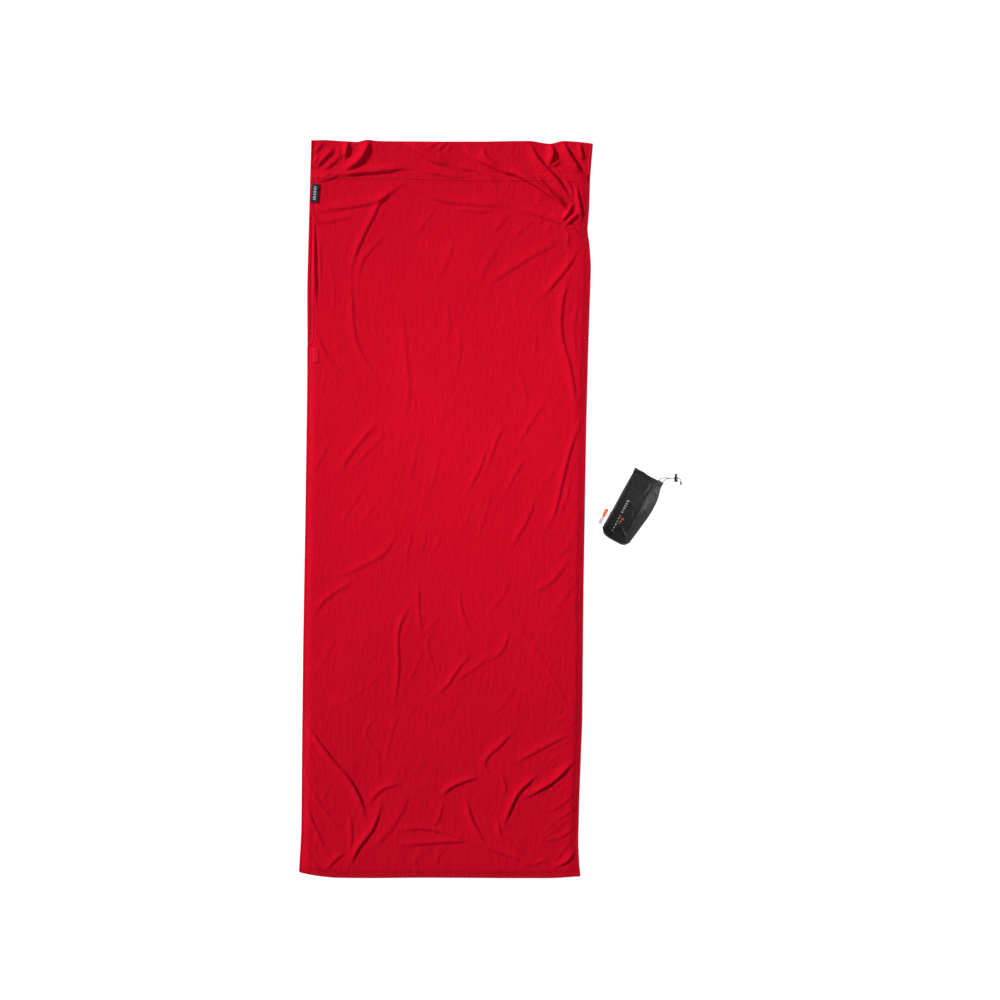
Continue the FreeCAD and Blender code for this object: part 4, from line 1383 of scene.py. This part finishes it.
def sack_places(along, inset=0.0):
    """Points of the tube: along is (rows, AROUND) in metres; inset moves them inwards."""
    station = along / MM
    offset, half_width, half_height, middle = (
        np.interp(station, SACK_SPINE[:, 0], SACK_SPINE[:, k]) * MM for k in range(1, 5)
    )
    to_oval = np.maximum(1 - ease((station + 2) / 26), 0.75 * ease((station - 176) / 22))
    shape = SACK_LOOP[None] + (OVAL_LOOP - SACK_LOOP)[None] * to_oval[..., None]
    across = offset + np.maximum(half_width - inset, LEAST_HALF) * shape[..., 0]
    height = middle + np.maximum(half_height - inset, LEAST_HALF) * shape[..., 1]
    upper = ease(shape[..., 1] / 0.5) * ease((station + 8) / 14)
    quiet = ease((station + 9) / 20) * ease((213 - station) / 10)
    around = np.broadcast_to(ANGLES, along.shape)
    swell = rumples(along, around, np.random.default_rng(SEED + 1))
    push = sack_relief(along, across) * upper + swell * quiet
    steep = np.hypot(shape[..., 0], shape[..., 1]) + 1e-6
    across = across + push * shape[..., 0] / steep * 0.6
    height = height + push * shape[..., 1] / steep
    return on_sack(along, across, np.maximum(height, LEAST_HEIGHT + inset * 0.5))


def walled(name, starts, stop, rows, material):
    """A tube of nylon with an outer and an inner wall, joined at both ends."""
    along = starts + (stop - starts) * np.linspace(0, 1, rows)[:, None]
    walls = [sack_places(along, inset).reshape(-1, 3) for inset in (0.0, NYLON_THICKNESS)]
    count = rows * AROUND
    faces = grid_faces(rows, AROUND, True)
    faces += [face[::-1] for face in grid_faces(rows, AROUND, True, count)]
    last = (rows - 1) * AROUND
    for i in range(AROUND):
        j = (i + 1) % AROUND
        faces.append([j, i, count + i, count + j])
        faces.append([last + i, last + j, count + last + j, count + last + i])
    flat = np.stack(np.broadcast_arrays(SACK_GIRTH, along), -1).reshape(-1, 2)
    return made_mesh(name, np.vstack(walls), faces, material, np.vstack([flat] * 2))


def ring_on_sack(name, along, section, material):
    """A closed band round the tube. section gives (along, out) places in metres."""
    rows = []
    for shift, out in section:
        places = sack_places((along + shift)[None], -out)
        places[..., 2] = np.maximum(places[..., 2], LEAST_HEIGHT)
        rows.append(places[0])
    faces = []
    for k in range(len(section)):
        upper, lower = k * AROUND, ((k + 1) % len(section)) * AROUND
        for i in range(AROUND):
            j = (i + 1) % AROUND
            faces.append([upper + i, upper + j, lower + j, lower + i])
    flat = [np.stack([SACK_GIRTH, along + shift], -1) for shift, _ in section]
    return made_mesh(name, np.stack(rows), faces, material, np.stack(flat))


def thread_mesh(name, lines, radius, material, sides=5):
    """Thin tubes along many short lines, as one mesh."""
    places, faces = [], []
    turns = round_turns(sides)
    for line in lines:
        tangent = directions(line)
        side = np.cross(tangent, (0.13, 0.21, 0.97))
        side /= np.linalg.norm(side, axis=1)[:, None]
        other = np.cross(tangent, side)
        thin = radius * (0.6 + 0.4 * np.sin(np.linspace(0, 1, len(line)) * math.pi))
        first = sum(len(block) for block in places)
        ring = (
            line[:, None]
            + side[:, None] * (np.cos(turns)[None, :] * thin[:, None])[..., None]
            + other[:, None] * (np.sin(turns)[None, :] * thin[:, None])[..., None]
        )
        places.append(ring.reshape(-1, 3))
        faces += tube_faces(len(line), sides, first)
    return made_mesh(name, np.vstack(places), faces, material)


def ring_stitches(name, along, out, count):
    """Stitches round the tube at one distance from the base."""
    places = sack_places(along[None], -out)
    places[..., 2] = np.maximum(places[..., 2], 2 * LEAST_HEIGHT)
    loop = np.vstack([places[0], places[0][:1]])
    run = run_along(loop)
    length = run[-1] / count * 0.68
    lines = []
    for start in np.linspace(0, run[-1], count, endpoint=False):
        at = (start + np.linspace(0, 1, 4) * length) % run[-1]
        lines.append(places_at(at, run, loop))
    on_the_sack(thread_mesh(name, lines, 0.00032, BLACK_THREAD), "nylon_binding")


def on_the_sack(obj, slot, *nodes):
    """A piece that goes with the sack."""
    return finished(obj, "stuff_sack", slot, *nodes)


# Where the tube meets the base panel: nearer the base in the middle of the top.
BASE_EDGE = (-3.4 + 0.0062 * (OVAL_LOOP[:, 0] * 46) ** 2) * MM
sack_tube = walled("sack_tube", BASE_EDGE, TUBE_END, 104, NYLON)
on_the_sack(sack_tube, "black_nylon", "sack_body")
on_the_sack(
    walled("sack_base_panel", np.full(AROUND, POLE), BASE_EDGE + 0.0006, 22, BASE_NYLON),
    "black_nylon", "sack_base",
)

BINDING_SECTION = [
    (-0.0022, 0.0002), (-0.0018, 0.0011), (-0.0005, 0.0017), (0.0012, 0.0015), (0.0024, 0.0008),
    (0.0026, -0.0002), (0.0, -0.0006),
]
MOUTH_SECTION = [
    (-0.0138, -0.0003), (-0.0134, 0.0002), (-0.0100, 0.0005), (-0.0050, 0.0007), (-0.0012, 0.0006),
    (-0.0001, 0.0002), (-0.0003, -0.0016), (-0.0016, -0.0030), (-0.0060, -0.0034),
    (-0.0110, -0.0032), (-0.0134, -0.0024), (-0.0140, -0.0010),
]


def build_sack_trim():
    binding = ring_on_sack("sack_base_binding_tape", BASE_EDGE, BINDING_SECTION, BINDING)
    on_the_sack(binding, "nylon_binding", "sack_base_binding")
    ring_stitches("sack_base_stitches", BASE_EDGE + 0.0046, 0.0003, 92)
    mouth = MOUTH_END + 0.0014 * np.sin(2 * ANGLES + 2.41) + 0.0007 * np.sin(7 * ANGLES)
    channel = ring_on_sack("sack_mouth_hem", mouth, MOUTH_SECTION, NYLON)
    on_the_sack(channel, "black_nylon", "sack_mouth_channel")
    ring_stitches("sack_hem_stitches", mouth - 0.0118, 0.0007, 88)
    round_cord = [
        (CORD_RADIUS * math.cos(a), -0.0012 + CORD_RADIUS * math.sin(a)) for a in round_turns(8)
    ]
    cord = ring_on_sack("channel_drawcord", np.full(AROUND, CORD_CENTRE), round_cord, CORD_BRAID)
    on_the_sack(cord, "drawcord", "channel_cord")


build_sack_trim()


# ---- print and tags


SACK_SURFACE = BVHTree.FromObject(sack_tube, bpy.context.evaluated_depsgraph_get())
PRINT_RISE = 0.00025
DOT_RISE = 0.00028
PRINT_CORNER = 0.3


def on_top_of_sack(along, across, rise):
    """Places on the tube's upper side, straight above the given ones."""
    shape = np.shape(along)
    places = on_sack(np.ravel(along), np.ravel(across), 0.2)
    for place in places:
        hit = SACK_SURFACE.ray_cast(Vector(place), Vector((0, 0, -1)))[0]
        place[2] = (hit.z if hit else 0.03) + rise
    return places.reshape(*shape, 3)


def square_grid(rows, columns):
    """Two grids that run from -1 to 1, one down the rows and one along the columns."""
    return np.meshgrid(np.linspace(-1, 1, rows), np.linspace(-1, 1, columns), indexing="ij")


def printed_bar(name, low, high, left, right, material):
    """A thin printed bar on the sack, with rounded corners."""
    t, s = square_grid(9, 9)
    squeeze = 1 - PRINT_CORNER * (np.abs(s) ** 6) * (np.abs(t) ** 6)
    along = (low + high) / 2 + (high - low) / 2 * t * squeeze
    across = (left + right) / 2 + (right - left) / 2 * s * squeeze
    places = on_top_of_sack(along * MM, across * MM, PRINT_RISE)
    on_the_sack(made_mesh(name, places, grid_faces(9, 9), material), "black_nylon")


def printed_dot(name, along, across, radius, material):
    turns = round_turns(28)
    r, a = np.meshgrid(np.linspace(0.02, 1, 6), turns, indexing="ij")
    along, across = along + radius * r * np.cos(a), across + radius * r * np.sin(a)
    places = on_top_of_sack(along * MM, across * MM, DOT_RISE)
    faces = grid_faces(6, len(turns), True)
    faces.append(list(range(len(turns)))[::-1])
    on_the_sack(made_mesh(name, places, faces, material), "black_nylon")


# Plain bars in the places of the print: low, high, left, right in millimetres.
WHITE_BARS = [
    (110.5, 116.5, -24, -16.5), (103, 106.5, -23.5, -17), (96, 99.5, -23.5, -17),
    (89, 92.5, -23.5, -17), (82.5, 85.5, -23, -17), (75, 79, -23, -17), (62.5, 65.5, -22, -18),
    (53, 59, -21.5, -18.5), (44, 48.5, -21.5, -18.5), (33, 40, -21, -18),
    (22.5, 28.5, -20.5, -18), (14.5, 17.5, -19.5, -17.5),
]
OCHRE_BARS = [(48, 53, -13, -9), (42.5, 46, -15, -11)]

for number, bar in enumerate(WHITE_BARS, start=1):
    printed_bar("sack_print_bar_%d" % number, *bar, PRINT_WHITE)
for number, bar in enumerate(OCHRE_BARS, start=1):
    printed_bar("sack_print_ochre_%d" % number, *bar, PRINT_OCHRE)
printed_dot("sack_print_dot", 59.5, -9.5, 4.6, PRINT_RED)


TAG_LOW, TAG_HIGH = 0.0155, 0.0665
TAG_OUTER, TAG_INNER = -0.0675, -0.0470
TAG_THICKNESS = 0.0006
SIDE_TAG_HEIGHT = 0.0118
SEAM_TAG_HEIGHT = 0.0138


def tag_height(along, across, height):
    """The side tag's free edge lifts and ripples a little."""
    out = np.clip((TAG_INNER - across) / (TAG_INNER - TAG_OUTER), 0, 1)
    share = (along - TAG_LOW) / (TAG_HIGH - TAG_LOW)
    lift = 0.0015 * out ** 2 * np.cos(3.1 * share + 0.4)
    return height + lift + 0.0006 * np.sin(9 * share) * out


def tag_mesh(name, low, high, outer, inner, height, thickness, material, corner=0.0):
    """A small flat piece of cloth beside the sack, with rounded corners."""
    rows, columns = 17, 9
    t, s = square_grid(rows, columns)
    squeeze = 1 - corner * np.abs(t) ** 4
    along = (low + high) / 2 + (high - low) / 2 * t * (1 - 0.3 * corner * np.abs(s) ** 4)
    across = (outer + inner) / 2 + (inner - outer) / 2 * s * squeeze
    level_height = tag_height(along, across, height)
    upper = on_sack(along, across, level_height + thickness)
    lower = on_sack(along, across, level_height)
    places = np.vstack([upper.reshape(-1, 3), lower.reshape(-1, 3)])
    count = rows * columns
    faces = grid_faces(rows, columns)
    faces += [face[::-1] for face in grid_faces(rows, columns, first=count)]
    rim = list(range(columns)) + [r * columns + columns - 1 for r in range(1, rows)]
    rim += [count - 1 - k for k in range(1, columns)]
    rim += [r * columns for r in range(rows - 2, 0, -1)]
    for k, corner_point in enumerate(rim):
        onward = rim[(k + 1) % len(rim)]
        faces.append([onward, corner_point, count + corner_point, count + onward])
    return made_mesh(name, places, faces, material)


TAGS = [
    ("sack_side_tag", TAG_LOW, TAG_HIGH, TAG_OUTER, TAG_INNER, SIDE_TAG_HEIGHT),
    ("sack_seam_tag", 0.189, 0.197, -0.0520, -0.0455, SEAM_TAG_HEIGHT),
]
TAG_PRINTS = [
    ("side_tag_coral_print", 0.0385, 0.0655, CORAL_PRINT),
    ("side_tag_mauve_print", 0.0165, 0.0382, MAUVE_PRINT),
]


def build_tags():
    for node, *place in TAGS:
        tag = tag_mesh(node + "_cloth", *place, TAG_THICKNESS, WHITE_TAG)
        on_the_sack(tag, "white_tag", node)
    for name, low, high, material in TAG_PRINTS:
        sides = (-0.0672, -0.0566, SIDE_TAG_HEIGHT + TAG_THICKNESS)
        on_the_sack(tag_mesh(name, low, high, *sides, 0.00012, material, 0.14), "white_tag")


build_tags()


# ---- knot and lock


def knot_mesh():
    """The drawcord's overhand knot, with two short cut ends."""
    low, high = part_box("drawcord_knot")
    middle = (Vector(low) + Vector(high)) / 2
    half = (high.y - low.y) / 2
    lines = []
    t = np.linspace(0, 1, 70)
    for side in (-1, 1):
        turn = t * math.tau * 1.6 + (0 if side < 0 else math.pi)
        radius = 0.0019 * np.sin(np.clip(t, 0.06, 0.94) * math.pi) ** 0.5
        x = middle.x + radius * np.cos(turn)
        z = middle.z + radius * np.sin(turn)
        y = middle.y + half * (0.9 - 1.8 * t)
        lines.append(np.stack([x, y, z], 1))
        end = np.array([
            [middle.x + side * 0.0008, middle.y - half * 0.85, middle.z],
            [middle.x + side * 0.0022, middle.y - half * 1.35, middle.z - 0.0008],
            [middle.x + side * 0.0036, middle.y - half * 1.75, middle.z - 0.0022],
        ])
        lines.append(smooth_route(end, 0.0006))
    return thread_mesh("drawcord_end_knot", lines, 0.00115, CORD_BRAID, 10)


SPRING_WIRE = 0.00025
SPRING_TURNS = 3.25


def build_spring():
    """The coil spring, at one fixed length, riding with the lock."""
    low, high = (np.array(corner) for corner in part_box("lock_spring"))
    middle = (low + high) / 2
    radius = (high[0] - low[0]) / 2 - SPRING_WIRE
    t = np.linspace(0, 1, 150)
    turn = t * math.tau * SPRING_TURNS
    y = low[1] + SPRING_WIRE + (high[1] - low[1] - 2 * SPRING_WIRE) * t
    coil = np.stack([middle[0] + radius * np.cos(turn), y, middle[2] + radius * np.sin(turn)], 1)
    spring = thread_mesh("lock_spring_coil", [coil], SPRING_WIRE, SPRING_STEEL, 8)
    finished(spring, "cord_lock", "spring_wire", "lock_spring")
    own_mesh(spring)


build_spring()
knot = knot_mesh()
on_the_sack(knot, "drawcord", "drawcord_knot")
for obj, node in ((left_strand, "drawcord_left"), (right_strand, "drawcord_right")):
    obj.data.materials.append(CORD_BRAID)
    on_the_sack(obj, "drawcord", node)

for node in ("lock_barrel", "lock_plunger"):
    frame["nodes"][node].data.materials.clear()
    frame["nodes"][node].data.materials.append(LOCK_PLASTIC)


# ---- floor and light


FLOOR_GLOW = 0.88
FLOOR_HALF = 50.0
WORLD_STRENGTH = 0.24


def build_floor():
    shader = Shader("pale_floor", Roughness=0.9, Specular_IOR_Level=0.05)
    place = shader.place()
    speck = shader.noise(place, 30.0, 3.0)
    shade = shader.mix(speck, (0.19, 0.19, 0.19, 1), (0.21, 0.21, 0.21, 1))
    material = shader.finish(shade)
    shader.surface.inputs["Emission Color"].default_value = (1, 1, 1, 1)
    shader.surface.inputs["Emission Strength"].default_value = FLOOR_GLOW
    sides = ((-1, -1), (1, -1), (1, 1), (-1, 1))
    corners = [(x * FLOOR_HALF, y * FLOOR_HALF, 0) for x, y in sides]
    made_mesh("studio_floor", corners, [(0, 1, 2, 3)], material)


def build_light():
    world = bpy.data.worlds.new("studio")
    world.use_nodes = True
    background = world.node_tree.nodes["Background"]
    background.inputs["Color"].default_value = (1, 1, 1, 1)
    background.inputs["Strength"].default_value = WORLD_STRENGTH
    bpy.context.scene.world = world
    sack_bodies = {"stuff_sack", "cord_lock", "plunger"}
    shown = [obj for obj in bpy.context.scene.objects if obj.type in ("MESH", "CURVE")]
    sack = [obj for obj in shown if sack_bodies & set(body_of(obj) or [])]
    others = [obj for obj in shown if obj not in sack or "tag" in obj.name]
    far_light("sheet_key", (-2.75, 1.85, 1.6), 8.0, 7.4, others)
    soft_light("sheet_top", (-0.09, 0.32, 1.10), (-0.09, 0.32, 0.0), 0.7, 7.2, others)
    soft_light("sack_key", (2.3, 0.1, 1.25), (0.45, 0.0, 0.0), 0.9, 46, sack)
    soft_light("sack_fill", (-0.4, 2.0, 2.4), (0.45, 0.0, 0.0), 1.6, 24, sack)
    bpy.context.scene.view_settings.view_transform = "Standard"


build_floor()
build_light()

bpy.context.view_layer.update()
